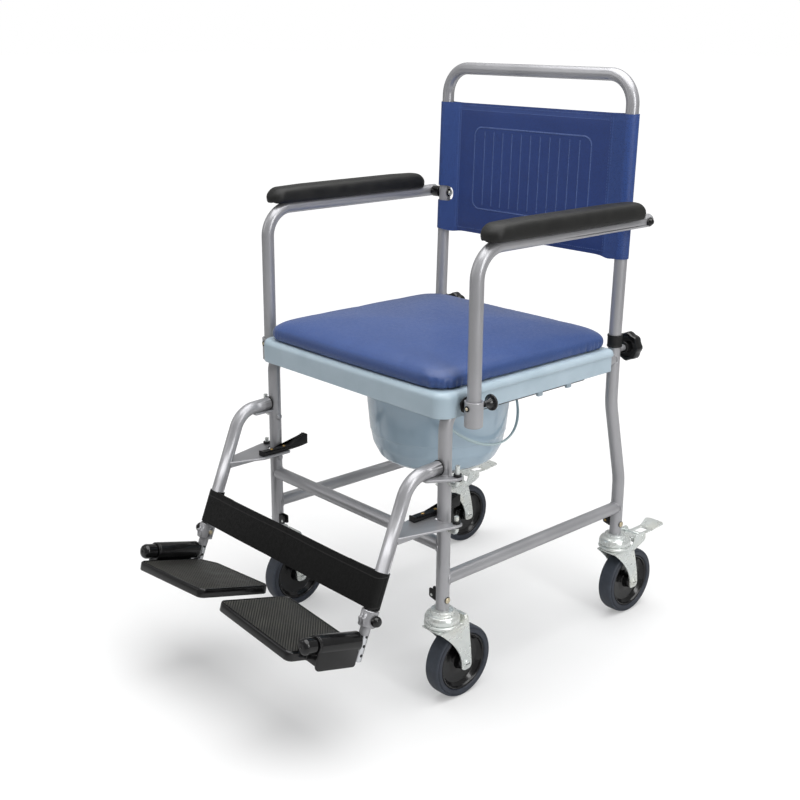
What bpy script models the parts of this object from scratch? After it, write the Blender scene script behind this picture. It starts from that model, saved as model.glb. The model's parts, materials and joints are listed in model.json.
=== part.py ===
"""A wheeled commode chair in metres: +Z up, the sitter faces -Y, left is +X, and the floor is z = 0.

Each piece is built where it stands, with both legs' axes measured from the middle of the chair. The
last step slides the whole chair along Y, so that its origin lies under the middle of its outline.
"""

import math

import bmesh
import bpy
from mathutils import Matrix, Vector

# Shared sizes
TUBE_RADIUS = 0.0111
TUBE_WALL = 0.0015
BORE_RADIUS = TUBE_RADIUS - TUBE_WALL
TOUCH = 0.0003
PAST = 0.002
TUBE_SIDES = 14
SMALL_SIDES = 10
WIRE_SIDES = 8
BORE_SIDES = 8
TURN_STEPS = 16
BEND_STEPS = 4
EYE_ROUNDING = 0.9

# Frame
FRONT_LEG_X = 0.2217
FRONT_LEG_Y = -0.200
REAR_LEG_INSET = 0.0032
REAR_LEG_X = FRONT_LEG_X - REAR_LEG_INSET
REAR_LEG_TOP_Y = 0.2175
REAR_LEG_SWERVE = 0.036
REAR_LEG_FOOT_Y = REAR_LEG_TOP_Y + REAR_LEG_SWERVE
LEG_FOOT_Z = 0.168
SEAT_RAIL_Z = 0.512
SEAT_RAIL_BEND = 0.040
REAR_LEG_ABOVE_RAIL = 0.0215
REAR_LEG_TOP_Z = SEAT_RAIL_Z + REAR_LEG_ABOVE_RAIL
SWERVE_TOP_Z = 0.430
SWERVE_FOOT_Z = 0.278
SWERVE_BEND = 0.12
LOWER_RAIL_Z = 0.220
FRONT_RAIL_Z = 0.278
REAR_CROSS_FORWARD = 0.025
REAR_CROSS_Y = REAR_LEG_TOP_Y - REAR_CROSS_FORWARD

# Hinge pins of the footrest hangers
PIN_OUTBOARD = 0.0283
PIN_X = FRONT_LEG_X + PIN_OUTBOARD
PIN_RADIUS = 0.0037
PIN_ELBOW_DROP = 0.0125
PIN_ELBOW_BEND = 0.0065
PIN_INBOARD_TIP = 0.004
PIN_WASHER_RADIUS = 0.0078
PIN_WASHER_THICKNESS = 0.002
UPPER_PIN_TOP_Z = 0.4175
LOWER_PIN_TOP_Z = 0.3375

# Castors
CASTOR_TRAIL = 0.038
WHEEL_RADIUS = 0.0625
STEM_LENGTH = 0.037
STEM_RADIUS = 0.0086
CAP_RADIUS = 0.020
CAP_THICKNESS = 0.006
DOME_RADIUS = 0.029
DOME_HEIGHT = 0.014
RACE_RADIUS = 0.030
RACE_HEIGHT = 0.008
KING_PIN_RADIUS = 0.006
KING_PIN_NUT_RADIUS = 0.010
KING_PIN_NUT_HEIGHT = 0.006
FORK_PLATE = 0.0025
FORK_INNER_HALF = 0.0190
FORK_FRONT = 0.028
FORK_REAR = 0.029
FORK_HEEL = 0.005
FORK_HEEL_DROP = 0.0216
FORK_FILLET = 0.006
AXLE_RADIUS = 0.004
AXLE_HEAD_RADIUS = 0.006
AXLE_HEAD_THICKNESS = 0.003
AXLE_EYE_RADIUS = 0.011
HUB_BORE_CLEARANCE = 0.0003
HUB_BOSS_RADIUS = 0.014
HUB_RIM_RADIUS = 0.0445
HUB_RIM_WALL = 0.006
HUB_HALF_WIDTH = 0.0125
HUB_WEB_HALF = 0.004
TYRE_HALF_WIDTH = 0.0150
TYRE_SHOULDER = 0.0045
TYRE_STEPS = 24

# Brake pedal of the rear castors
PEDAL_PIVOT_BACK = 0.058
PEDAL_PIVOT_Z = 0.150
PEDAL_PIN_RADIUS = 0.0025
PEDAL_BARREL_RADIUS = 0.0045
PEDAL_PLATE = 0.0025
PEDAL_HALF_WIDTH = 0.0150
PEDAL_FRONT = 0.036
PEDAL_REAR = 0.100
PEDAL_WINDOW_HALF = 0.008
PEDAL_WINDOW_FRONT = 0.068
PEDAL_WINDOW_REAR = 0.092
TREAD_HALF_WIDTH = 0.0185
TREAD_LENGTH = 0.047
TREAD_RISE_DEG = 24.0
SHOE_FRONT = 0.063
SHOE_REAR = 0.067
SHOE_HALF_WIDTH = 0.010
SHOE_TYRE_GAP = 0.006
TONGUE_EYE_RADIUS = 0.009

# Back
BACK_LEAN_DEG = 1.65
LEAN_START_Z = 0.560
PUSH_BAR_Z = 0.996
PUSH_BAR_BEND = 0.050
SPIGOT_DEPTH = 0.094
SPIGOT_INSIDE = 0.030
COLLAR_HEIGHT = 0.0215
COLLAR_WALL = 0.0018
SLING_BOTTOM_Z = 0.690
SLING_BELOW_BAR = 0.063
SLING_TOP_Z = PUSH_BAR_Z - SLING_BELOW_BAR
SLING_PANEL = 0.004
SLING_SLEEVE_WALL = 0.0018
NOTCH_INNER_X = 0.190
NOTCH_HALF_HEIGHT = 0.0145

# Clamp handwheels behind the rear legs
HANDWHEEL_ABOVE_RAIL = 0.0155
HANDWHEEL_Z = SEAT_RAIL_Z + HANDWHEEL_ABOVE_RAIL
HANDWHEEL_BACK = 0.046
HANDWHEEL_Y = REAR_LEG_TOP_Y + HANDWHEEL_BACK
HANDWHEEL_RADIUS = 0.0262
HANDWHEEL_LOBE = 0.0018
HANDWHEEL_LOBES = 8
HANDWHEEL_THICKNESS = 0.018
HANDWHEEL_NECK_RADIUS = 0.010
HANDWHEEL_SCREW_RADIUS = 0.0032
BOSS_RADIUS = 0.0055
BOSS_LENGTH = 0.026
BOSS_END_Y = REAR_LEG_TOP_Y + BOSS_LENGTH
THREAD_CLEARANCE = 0.0003

# Arms
ARM_OUTBOARD = 0.0386
ARM_X = FRONT_LEG_X + ARM_OUTBOARD
ARM_POST_BACK = 0.022
ARM_POST_Y = FRONT_LEG_Y + ARM_POST_BACK
ARM_FOOT_Z = 0.487
ARM_Z = 0.7595
ARM_BEND = 0.050
ARM_TAIL = 0.0125
PAD_OUTBOARD = 0.0057
PAD_X = ARM_X + PAD_OUTBOARD
PAD_HALF_WIDTH = 0.0220
PAD_START = 0.009
PAD_FRONT_Y = ARM_POST_Y + PAD_START
PAD_REAR_Y = 0.204
PAD_BOTTOM_Z = 0.768
PAD_TOP_Z = 0.797
PAD_EDGE = 0.0105
SADDLE_BOTTOM_Z = 0.483
SADDLE_TOP_Z = 0.525
SADDLE_WALL = 0.0036
PEG_ABOVE_RAIL = 0.003
PEG_Z = SEAT_RAIL_Z + PEG_ABOVE_RAIL
PEG_RADIUS = 0.006
PEG_START = 0.0083
PEG_START_X = FRONT_LEG_X + PEG_START
PEG_PAST_ARM = 0.0052
PEG_END_X = ARM_X + PEG_PAST_ARM
PEG_CLEARANCE = 0.0006
FLANGE_RADIUS = 0.0155
FLANGE_THICKNESS = 0.0028
PLUNGER_RADIUS = 0.0025
PLUNGER_TIP_GAP = 0.0045
PLUNGER_REACH = 0.021
PLUNGER_NECK_Y = ARM_POST_Y + PLUNGER_REACH
KNOB_REACH = 0.0365
KNOB_Y = ARM_POST_Y + KNOB_REACH
KNOB_THICKNESS = 0.005
KNOB_RADIUS = 0.0135
BOLT_RADIUS = 0.004
BOLT_HEAD_RADIUS = 0.0075
BOLT_HEAD_HEIGHT = 0.004
NUT_HEIGHT = 0.0070
SPACER_RADIUS = 0.0105

# Seat
RING_WALL = 0.0024
RING_SIDE_CLEARANCE = 0.0006
RING_HALF_WIDTH = FRONT_LEG_X + TUBE_RADIUS + RING_SIDE_CLEARANCE + RING_WALL
RING_AHEAD = 0.022
RING_FRONT_Y = FRONT_LEG_Y - RING_AHEAD
RING_BEHIND_GAP = 0.0155
RING_REAR_Y = REAR_LEG_TOP_Y - RING_BEHIND_GAP
RING_SKIRT_DROP = 0.017
RING_BOTTOM_Z = SEAT_RAIL_Z - RING_SKIRT_DROP
RING_ABOVE_RAIL = 0.0235
RING_TOP_Z = SEAT_RAIL_Z + RING_ABOVE_RAIL
RING_CORNER = 0.022
RING_PLATE = 0.003
HOLE_HALF_WIDTH = 0.100
HOLE_HALF_LENGTH = 0.130
HOLE_LIP_DROP = 0.003
HOLE_LIP_BOTTOM_Z = RING_BOTTOM_Z - HOLE_LIP_DROP
RIB_FRONT_Y = -0.120
RIB_REAR_Y = 0.150
RIB_WIDTH = 0.0278
RIB_INNER_X = RING_HALF_WIDTH - RIB_WIDTH
CUSHION_SIDE_INSET = 0.0108
CUSHION_HALF_WIDTH = RING_HALF_WIDTH - CUSHION_SIDE_INSET
CUSHION_FRONT_INSET = 0.012
CUSHION_FRONT_Y = RING_FRONT_Y + CUSHION_FRONT_INSET
CUSHION_REAR_INSET = 0.002
CUSHION_REAR_Y = RING_REAR_Y - CUSHION_REAR_INSET
CUSHION_THICKNESS = 0.0425
CUSHION_TOP_Z = RING_TOP_Z + CUSHION_THICKNESS
CUSHION_CORNER = 0.032
CUSHION_EDGE = 0.013

# Pan, its runners and its bail
PAN_RIM_RADIUS = 0.150
PAN_RIM_Z = 0.487
PAN_WALL = 0.0025
PAN_FLANGE = 0.020
PAN_MOUTH_RADIUS = PAN_RIM_RADIUS - PAN_FLANGE
PAN_WAIST_RADIUS = 0.127
PAN_WAIST_Z = 0.430
PAN_SIDE_RADIUS = 0.118
PAN_SIDE_Z = 0.360
PAN_FOOT_RADIUS = 0.085
PAN_BOTTOM_Z = 0.323
PAN_KNUCKLE_RADIUS = 0.104
PAN_KNUCKLE_RISE = 0.0102
RUNNER_CLEARANCE = 0.008
RUNNER_INNER_X = PAN_RIM_RADIUS + RUNNER_CLEARANCE
RUNNER_BAR_WIDTH = 0.030
RUNNER_OUTER_X = RUNNER_INNER_X + RUNNER_BAR_WIDTH
RUNNER_WEB = 0.003
RUNNER_LEDGE = 0.003
LEDGE_UNDER_RIM = 0.0165
LEDGE_INNER_X = PAN_RIM_RADIUS - LEDGE_UNDER_RIM
RUNNER_BAR_BOTTOM_Z = 0.4575
RUNNER_BAR_TOP_Z = 0.470
RUNNER_FRONT_Y = -0.145
RUNNER_REAR_Y = 0.178
BAIL_WIRE = 0.002
BAIL_OFFSET = 0.053
BAIL_DROP = 0.130
BAIL_TURN_DEG = 12.0
BAIL_TILT_DEG = 40.0
BAIL_HINGE_Z = 0.4775
BAIL_PIN = 0.008
BAIL_STEPS = 14
EAR_INSET = 0.0275
EAR_INNER = PAN_RIM_RADIUS - EAR_INSET
EAR_WIDTH = 0.005
EAR_OUTER = EAR_INNER + EAR_WIDTH
BAIL_PAST_EAR = 0.0025
BAIL_HALF_WIDTH = EAR_OUTER + BAIL_PAST_EAR
EAR_HALF_HEIGHT = 0.0060

# Footrest hangers
HANGER_END_AHEAD = 0.013
HANGER_END_Y = FRONT_LEG_Y - HANGER_END_AHEAD
HANGER_END_Z = 0.4150
HANGER_CORNER_Z = 0.412
HANGER_BEND = 0.045
HANGER_REACH = 0.131
DOWN_TUBE_Y = FRONT_LEG_Y - HANGER_REACH
DOWN_TUBE_Z = 0.275
DOWN_TUBE_SLOPE = 0.40
CLAMP_Z = 0.206
CLAMP_RADIUS = 0.0128
CLAMP_LENGTH = 0.022
CLAMP_BOLT_TIP = 0.004
UPPER_PLATE_BOTTOM_Z = 0.4003
UPPER_PLATE_REACH = 0.050
UPPER_PLATE_FRONT_Y = FRONT_LEG_Y - UPPER_PLATE_REACH
UPPER_PLATE = 0.004
LOWER_PLATE_BOTTOM_Z = 0.3220
LOWER_PLATE = 0.004
PLATE_SIDE_INSET = 0.0008
PLATE_LEG_GAP = 0.0016
PLATE_CORNER = 0.003
EYE_RADIUS = 0.0085
EYE_CLEARANCE = 0.0003
LOBE_INBOARD = 0.0327
LOBE_INNER_X = FRONT_LEG_X - LOBE_INBOARD
LOBE_WIDTH = 0.0195
LOBE_OUTER_X = LOBE_INNER_X + LOBE_WIDTH
LOBE_BEHIND = 0.010
LOBE_REAR_Y = FRONT_LEG_Y + LOBE_BEHIND
LOBE_CORNER = 0.004
KNOB_BODY_RADIUS = 0.007
KNOB_BODY_LENGTH = 0.011
CLAMP_SCREW_RADIUS = 0.003

# Latch levers
LEVER_INBOARD = 0.0217
LEVER_X = FRONT_LEG_X - LEVER_INBOARD
LEVER_RIVET_AHEAD = 0.026
LEVER_RIVET_Y = FRONT_LEG_Y - LEVER_RIVET_AHEAD
LEVER_FRONT_AHEAD = 0.050
LEVER_FRONT_Y = FRONT_LEG_Y - LEVER_FRONT_AHEAD
LEVER_BEND_BEHIND = 0.014
LEVER_BEND_Y = FRONT_LEG_Y + LEVER_BEND_BEHIND
LEVER_REAR_BEHIND = 0.051
LEVER_REAR_Y = FRONT_LEG_Y + LEVER_REAR_BEHIND
LEVER_HALF_WIDTH = 0.0068
LEVER_THICKNESS = 0.008
LEVER_PAD_RISE = 0.010
RIVET_RADIUS = 0.003
RIVET_HEIGHT = 0.0015
RIVET_SPACING = 0.028

# Footrest posts and footplates
POST_RADIUS = 0.008
POST_TOP_Z = 0.345
POST_BOTTOM_Z = 0.142
PLATE_AXIS_AHEAD = 0.041
PLATE_AXIS_Y = DOWN_TUBE_Y - PLATE_AXIS_AHEAD
PLATE_TILT_DEG = 15.0
SHAFT_RADIUS = 0.0055
BARREL_RADIUS = 0.0140
BARREL_START = 0.0110
BARREL_END = 0.0965
BARREL_BORE_CLEARANCE = 0.0004
END_KNOB_RADIUS = 0.0095
END_KNOB_GAP = 0.0005
END_KNOB_LENGTH = 0.024
END_KNOB_EDGE = 0.002
WALL_START = 0.0170
WALL_DROP = 0.036
WALL_THICKNESS = 0.004
PLATE_DROP = 0.0128
PLATE_THICKNESS = 0.012
PLATE_INNER_RISE_DEG = 4.2
PLATE_INNER_X = 0.024
PLATE_OUTER_X = 0.2116
PLATE_CUT_X = 0.176
PLATE_FRONT = 0.132
PLATE_REAR = -0.007
PLATE_CUT = 0.018
PLATE_ROUND = 0.011
PLATE_NICK = 0.004

# Calf strap
STRAP_TOP_Z = 0.2745
STRAP_WIDTH = 0.058
STRAP_THICKNESS = 0.002
STRAP_MIDDLE_GAP = 0.0008


def leaned_y(z):
    """Y of the back posts' centre line at a height."""
    return REAR_LEG_TOP_Y + (z - LEAN_START_Z) * math.tan(math.radians(BACK_LEAN_DEG))


def down_tube_y(z):
    """Y of the hanger's sloping tube at a height."""
    return DOWN_TUBE_Y - DOWN_TUBE_SLOPE * (DOWN_TUBE_Z - z)


DOWN_DIRECTION = Vector((0, -DOWN_TUBE_SLOPE, -1)).normalized()
PARTS = bpy.data.collections.new("wheeled_commode_chair")
HELPERS = bpy.data.collections.new("cutters_and_joined_shapes")


# Scene and materials


def clear_scene():
    for obj in list(bpy.data.objects):
        bpy.data.objects.remove(obj, do_unlink=True)
    bpy.context.scene.collection.children.link(PARTS)
    bpy.context.scene.collection.children.link(HELPERS)


def make_material(name, colour, roughness, metallic=0.0):
    """A plain Principled material; colour is linear red, green and blue."""
    material = bpy.data.materials.new(name)
    material.use_nodes = True
    shader = material.node_tree.nodes["Principled BSDF"]
    shader.inputs["Base Color"].default_value = (*colour, 1.0)
    shader.inputs["Roughness"].default_value = roughness
    shader.inputs["Metallic"].default_value = metallic
    material.diffuse_color = (*colour, 1.0)
    return material


def make_materials():
    return {
        "paint": make_material("silver_grey_paint", (0.30, 0.30, 0.32), 0.38, 0.5),
        "zinc": make_material("zinc_plate", (0.62, 0.64, 0.62), 0.30, 1.0),
        "chrome": make_material("chrome", (0.75, 0.76, 0.78), 0.12, 1.0),
        "black": make_material("black_plastic", (0.012, 0.012, 0.013), 0.42),
        "foam": make_material("black_arm_foam", (0.018, 0.018, 0.017), 0.60),
        "vinyl": make_material("blue_vinyl", (0.045, 0.095, 0.30), 0.45),
        "sling": make_material("blue_sling_vinyl", (0.035, 0.072, 0.24), 0.45),
        "grey_plastic": make_material("pale_grey_blue_plastic", (0.40, 0.50, 0.58), 0.40),
        "pan": make_material("glossy_pan_plastic", (0.30, 0.41, 0.51), 0.18),
        "wire": make_material("pale_bail_wire", (0.50, 0.62, 0.64), 0.35),
        "tyre": make_material("grey_tyre", (0.045, 0.055, 0.075), 0.70),
        "hub": make_material("black_hub", (0.010, 0.010, 0.011), 0.25),
        "strap": make_material("black_webbing", (0.014, 0.014, 0.014), 0.85),
    }


# Shapes


def add_mesh(name, mesh, place=None):
    obj = bpy.data.objects.new(name, mesh)
    if place is not None:
        obj.matrix_world = place
    PARTS.objects.link(obj)
    return obj


def facing(point, direction):
    """A place whose local Z runs along a direction and whose origin is the point."""
    turn = Vector((0, 0, 1)).rotation_difference(Vector(direction)).to_matrix().to_4x4()
    return Matrix.Translation(point) @ turn


def box(name, low, high):
    mesh = bpy.data.meshes.new(name)
    shape = bmesh.new()
    bmesh.ops.create_cube(shape, size=1.0)
    size = Vector(high) - Vector(low)
    bmesh.ops.scale(shape, vec=size, verts=shape.verts)
    shape.to_mesh(mesh)
    shape.free()
    return add_mesh(name, mesh, Matrix.Translation((Vector(high) + Vector(low)) / 2))


def rod(name, start, end, radius, sides=TUBE_SIDES):
    """A round bar between two points."""
    start = Vector(start)
    span = Vector(end) - start
    mesh = bpy.data.meshes.new(name)
    shape = bmesh.new()
    bmesh.ops.create_cone(
        shape, cap_ends=True, segments=sides, radius1=radius, radius2=radius, depth=span.length
    )
    shape.to_mesh(mesh)
    shape.free()
    obj = add_mesh(name, mesh, facing(start + span / 2, span))
    smooth(obj)
    return obj


def from_curve(name, curve, place=None):
    """The curve's mesh with its caps welded on."""
    holder = bpy.data.objects.new(name + "_curve", curve)
    PARTS.objects.link(holder)
    bpy.context.view_layer.update()
    mesh = bpy.data.meshes.new_from_object(holder.evaluated_get(bpy.context.evaluated_depsgraph_get()))
    mesh.name = name
    shape = bmesh.new()
    shape.from_mesh(mesh)
    bmesh.ops.remove_doubles(shape, verts=shape.verts, dist=1e-6)
    bmesh.ops.recalc_face_normals(shape, faces=shape.faces)
    shape.to_mesh(mesh)
    shape.free()
    bpy.data.objects.remove(holder, do_unlink=True)
    bpy.data.curves.remove(curve)
    mesh.materials.clear()
    return add_mesh(name, mesh, place)


def corner_arc(before, corner, after, radius):
    """Points of the arc that rounds a corner, from one straight side to the other."""
    to_before = (before - corner).normalized()
    to_after = (after - corner).normalized()
    angle = to_before.angle(to_after)
    swing = math.pi - angle
    if radius == 0 or swing < 1e-3:
        return [corner]
    reach = radius / math.tan(angle / 2)
    centre = corner + (to_before + to_after).normalized() * radius / math.sin(angle / 2)
    first = corner + to_before * reach - centre
    last = corner + to_after * reach - centre
    steps = max(2, round(BEND_STEPS * swing / (math.pi / 2)))
    points = []
    for step in range(steps + 1):
        share = step / steps
        blend = first * math.sin((1 - share) * swing) + last * math.sin(share * swing)
        points.append(centre + blend / math.sin(swing))
    return points


def bent_path(corners, radii):
    """Straight runs between corners, with an arc at each corner between the two ends."""
    corners = [Vector(corner) for corner in corners]
    points = [corners[0]]
    for index in range(1, len(corners) - 1):
        points += corner_arc(corners[index - 1], corners[index], corners[index + 1], radii[index - 1])
    return points + [corners[-1]]


def rounded_outline(corners, radii):
    """A closed outline in a plane whose corners are arcs."""
    corners = [Vector((*corner, 0.0)) for corner in corners]
    points = []
    for index, corner in enumerate(corners):
        after = corners[(index + 1) % len(corners)]
        points += corner_arc(corners[index - 1], corner, after, radii[index])
    return [(point.x, point.y) for point in points]


def oval_outline(half_width, half_length, steps=24):
    turns = [2 * math.pi * step / steps for step in range(steps)]
    return [(half_width * math.cos(turn), half_length * math.sin(turn)) for turn in turns]


def lobed_outline(radius, lobe, lobes, steps_per_lobe=4):
    steps = lobes * steps_per_lobe
    turns = [2 * math.pi * step / steps for step in range(steps)]
    reach = [radius + lobe * math.cos(lobes * turn) for turn in turns]
    return [(r * math.cos(turn), r * math.sin(turn)) for r, turn in zip(reach, turns)]


def pipe(name, points, radius, sides=TUBE_SIDES):
    """A solid round bar along a line of points."""
    curve = bpy.data.curves.new(name, "CURVE")
    curve.dimensions = "3D"
    curve.bevel_depth = radius
    curve.bevel_resolution = (sides - 4) // 2
    curve.use_fill_caps = True
    spline = curve.splines.new("POLY")
    spline.points.add(len(points) - 1)
    for point, place in zip(spline.points, points):
        point.co = (*place, 1.0)
    obj = from_curve(name, curve)
    smooth(obj)
    return obj


def slab(name, outline, thickness, place):
    """A flat outline given its thickness, half to each side of its plane."""
    curve = bpy.data.curves.new(name, "CURVE")
    curve.dimensions = "2D"
    curve.fill_mode = "BOTH"
    curve.extrude = thickness / 2
    spline = curve.splines.new("POLY")
    spline.points.add(len(outline) - 1)
    for point, (x, y) in zip(spline.points, outline):
        point.co = (x, y, 0.0, 1.0)
    spline.use_cyclic_u = True
    return from_curve(name, curve, place)


def upright_slab(name, outline, bottom, top):
    """A flat outline standing between two heights."""
    return slab(name, outline, top - bottom, Matrix.Translation((0, 0, (bottom + top) / 2)))


def side_slab(name, outline, x, thickness):
    """An outline of (y, z) points in a side plane at x."""
    turn = Matrix(((0, 0, 1, 0), (1, 0, 0, 0), (0, 1, 0, 0), (0, 0, 0, 1)))
    return slab(name, outline, thickness, Matrix.Translation((x, 0, 0)) @ turn)


def turned(name, profile, place, steps=TURN_STEPS, ring=False):
    """A profile of (radius, height) points turned round the place's local Z."""
    mesh = bpy.data.meshes.new(name)
    edges = [(index, index + 1) for index in range(len(profile) - 1)]
    if ring:
        edges.append((len(profile) - 1, 0))
    mesh.from_pydata([(radius, 0.0, height) for radius, height in profile], edges, [])
    obj = add_mesh(name, mesh, place)
    screw = obj.modifiers.new("turn", "SCREW")
    screw.steps = steps
    screw.render_steps = steps
    screw.use_merge_vertices = True
    screw.merge_threshold = 0.00001
    screw.use_smooth_shade = True
    return obj


def ring_profile(inner, outer, bottom, top):
    return [(inner, top), (outer, top), (outer, bottom), (inner, bottom)]


def smooth(obj):
    obj.data.shade_smooth()
    obj.data.set_sharp_from_angle(angle=math.radians(35))


def soften(obj, width, segments=2):
    bevel = obj.modifiers.new("soft_edges", "BEVEL")
    bevel.width = width
    bevel.segments = segments
    bevel.limit_method = "ANGLE"
    bevel.angle_limit = math.radians(50)


def use_as_helper(obj, owner):
    PARTS.objects.unlink(obj)
    HELPERS.objects.link(obj)
    obj.hide_render = True
    obj.display_type = "WIRE"
    obj.parent = owner
    obj.matrix_parent_inverse = owner.matrix_basis.inverted()


def combine(obj, others, operation):
    for other in others:
        modifier = obj.modifiers.new(other.name, "BOOLEAN")
        modifier.operation = operation
        modifier.solver = "EXACT"
        modifier.object = other
        use_as_helper(other, obj)


def join(obj, *others):
    combine(obj, others, "UNION")


def cut(obj, *others):
    combine(obj, others, "DIFFERENCE")


def finish(obj, material):
    obj.data.materials.append(material)
    return obj


# Frame


def side_frame_path(side, overrun=0.0):
    corners = [
        (side * FRONT_LEG_X, FRONT_LEG_Y, LEG_FOOT_Z - overrun),
        (side * FRONT_LEG_X, FRONT_LEG_Y, SEAT_RAIL_Z),
        (side * REAR_LEG_X, REAR_LEG_TOP_Y + overrun, SEAT_RAIL_Z),
    ]
    return bent_path(corners, [SEAT_RAIL_BEND])


def rear_leg_path(side, overrun=0.0):
    x = side * REAR_LEG_X
    corners = [
        (x, REAR_LEG_FOOT_Y, LEG_FOOT_Z - overrun),
        (x, REAR_LEG_FOOT_Y, SWERVE_FOOT_Z),
        (x, REAR_LEG_TOP_Y, SWERVE_TOP_Z),
        (x, REAR_LEG_TOP_Y, REAR_LEG_TOP_Z + overrun),
    ]
    return bent_path(corners, [SWERVE_BEND, SWERVE_BEND])


def upright_cutter(name, x, y, z, reach=0.03):
    """The space that an upright tube takes at a height."""
    return rod(name, (x, y, z - reach), (x, y, z + reach), TUBE_RADIUS + TOUCH)


def hinge_pin(name, side, plate_bottom, top):
    """A bent bolt through the front leg, with its outer end turned up as a hinge pin."""
    elbow_z = plate_bottom - PIN_ELBOW_DROP
    corners = [
        (side * (FRONT_LEG_X - TUBE_RADIUS - PIN_INBOARD_TIP), FRONT_LEG_Y, elbow_z),
        (side * PIN_X, FRONT_LEG_Y, elbow_z),
        (side * PIN_X, FRONT_LEG_Y, top),
    ]
    pin = pipe(name, bent_path(corners, [PIN_ELBOW_BEND]), PIN_RADIUS, WIRE_SIDES)
    washer_top = plate_bottom - TOUCH
    washer_bottom = washer_top - PIN_WASHER_THICKNESS
    centre = (side * PIN_X, FRONT_LEG_Y)
    ends = [(*centre, z) for z in (washer_bottom, washer_top)]
    return pin, rod(name + "_washer", *ends, PIN_WASHER_RADIUS, SMALL_SIDES)


def build_side_frame(side, name, mats):
    frame = pipe(name + "_side_frame", side_frame_path(side), TUBE_RADIUS)
    join(frame, *hinge_pin(name + "_upper_pin", side, UPPER_PLATE_BOTTOM_Z, UPPER_PIN_TOP_Z))
    join(frame, *hinge_pin(name + "_lower_pin", side, LOWER_PLATE_BOTTOM_Z, LOWER_PIN_TOP_Z))
    bore = pipe(name + "_side_bore", side_frame_path(side, PAST), BORE_RADIUS, BORE_SIDES)
    leg = upright_cutter(name + "_cope", side * REAR_LEG_X, REAR_LEG_TOP_Y, SEAT_RAIL_Z)
    cut(frame, bore, leg)
    return finish(frame, mats["paint"])


def build_rear_leg(side, name, mats):
    x = side * REAR_LEG_X
    leg = pipe(name + "_rear_leg", rear_leg_path(side), TUBE_RADIUS)
    boss_start = (x, REAR_LEG_TOP_Y, HANDWHEEL_Z)
    boss_end = (x, BOSS_END_Y, HANDWHEEL_Z)
    join(leg, rod(name + "_boss", boss_start, boss_end, BOSS_RADIUS, SMALL_SIDES))
    bore = pipe(name + "_leg_bore", rear_leg_path(side, PAST), BORE_RADIUS)
    thread_end = (x, BOSS_END_Y + PAST, HANDWHEEL_Z)
    thread_radius = HANDWHEEL_SCREW_RADIUS + THREAD_CLEARANCE
    cut(leg, bore, rod(name + "_thread", boss_start, thread_end, thread_radius, SMALL_SIDES))
    return finish(leg, mats["paint"])


def build_lower_rail(side, name, mats):
    front = Vector((side * FRONT_LEG_X, FRONT_LEG_Y, LOWER_RAIL_Z))
    rear = Vector((side * REAR_LEG_X, REAR_LEG_FOOT_Y, LOWER_RAIL_Z))
    rail = rod(name + "_lower_rail", front, rear, TUBE_RADIUS)
    cut(
        rail,
        rod(name + "_rail_bore", front, rear, BORE_RADIUS, BORE_SIDES),
        upright_cutter(name + "_front_cope", front.x, front.y, front.z),
        upright_cutter(name + "_rear_cope", rear.x, rear.y, rear.z),
    )
    return finish(rail, mats["paint"])


def build_front_cross_rail(mats):
    ends = [Vector((x, FRONT_LEG_Y, FRONT_RAIL_Z)) for x in (-FRONT_LEG_X, FRONT_LEG_X)]
    rail = rod("front_cross_rail", *ends, TUBE_RADIUS)
    cut(rail, rod("front_cross_bore", *ends, BORE_RADIUS, BORE_SIDES))
    cut(rail, *[upright_cutter(f"front_cross_cope_{end.x:+.0f}", *end) for end in ends])
    return finish(rail, mats["paint"])


def build_rear_cross_tube(mats):
    ends = [Vector((x, REAR_CROSS_Y, SEAT_RAIL_Z)) for x in (-REAR_LEG_X, REAR_LEG_X)]
    tube = rod("rear_cross_tube", *ends, TUBE_RADIUS)
    cut(tube, rod("rear_cross_bore", *ends, BORE_RADIUS, BORE_SIDES))
    for side in (-1, 1):
        start = (side * FRONT_LEG_X, FRONT_LEG_Y, SEAT_RAIL_Z)
        end = (side * REAR_LEG_X, REAR_LEG_TOP_Y, SEAT_RAIL_Z)
        cut(tube, rod(f"rear_cross_cope_{side}", start, end, TUBE_RADIUS + TOUCH))
    return finish(tube, mats["paint"])


# Castors


def race_top_z():
    return LEG_FOOT_Z - TOUCH - CAP_THICKNESS - DOME_HEIGHT - TOUCH


def crown_top_z():
    return race_top_z() - RACE_HEIGHT


def build_castor_head(x, y, name, mats):
    """Stem, cap, dome and king pin: what stays with the leg while the fork swivels."""
    cap_top = LEG_FOOT_Z - TOUCH
    dome_top = cap_top - CAP_THICKNESS
    dome_bottom = dome_top - DOME_HEIGHT
    nut_top = crown_top_z() - FORK_PLATE - TOUCH
    nut_bottom = nut_top - KING_PIN_NUT_HEIGHT
    profile = [
        (0.0, LEG_FOOT_Z + STEM_LENGTH),
        (STEM_RADIUS, LEG_FOOT_Z + STEM_LENGTH),
        (STEM_RADIUS, cap_top),
        (CAP_RADIUS, cap_top),
        (CAP_RADIUS, dome_top),
        (DOME_RADIUS, dome_bottom + 0.5 * DOME_HEIGHT),
        (DOME_RADIUS, dome_bottom),
        (KING_PIN_RADIUS, dome_bottom),
        (KING_PIN_RADIUS, nut_top),
        (KING_PIN_NUT_RADIUS, nut_top),
        (KING_PIN_NUT_RADIUS, nut_bottom),
        (0.0, nut_bottom),
    ]
    return finish(turned(name + "_castor_head", profile, Matrix.Translation((x, y, 0))), mats["zinc"])


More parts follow.
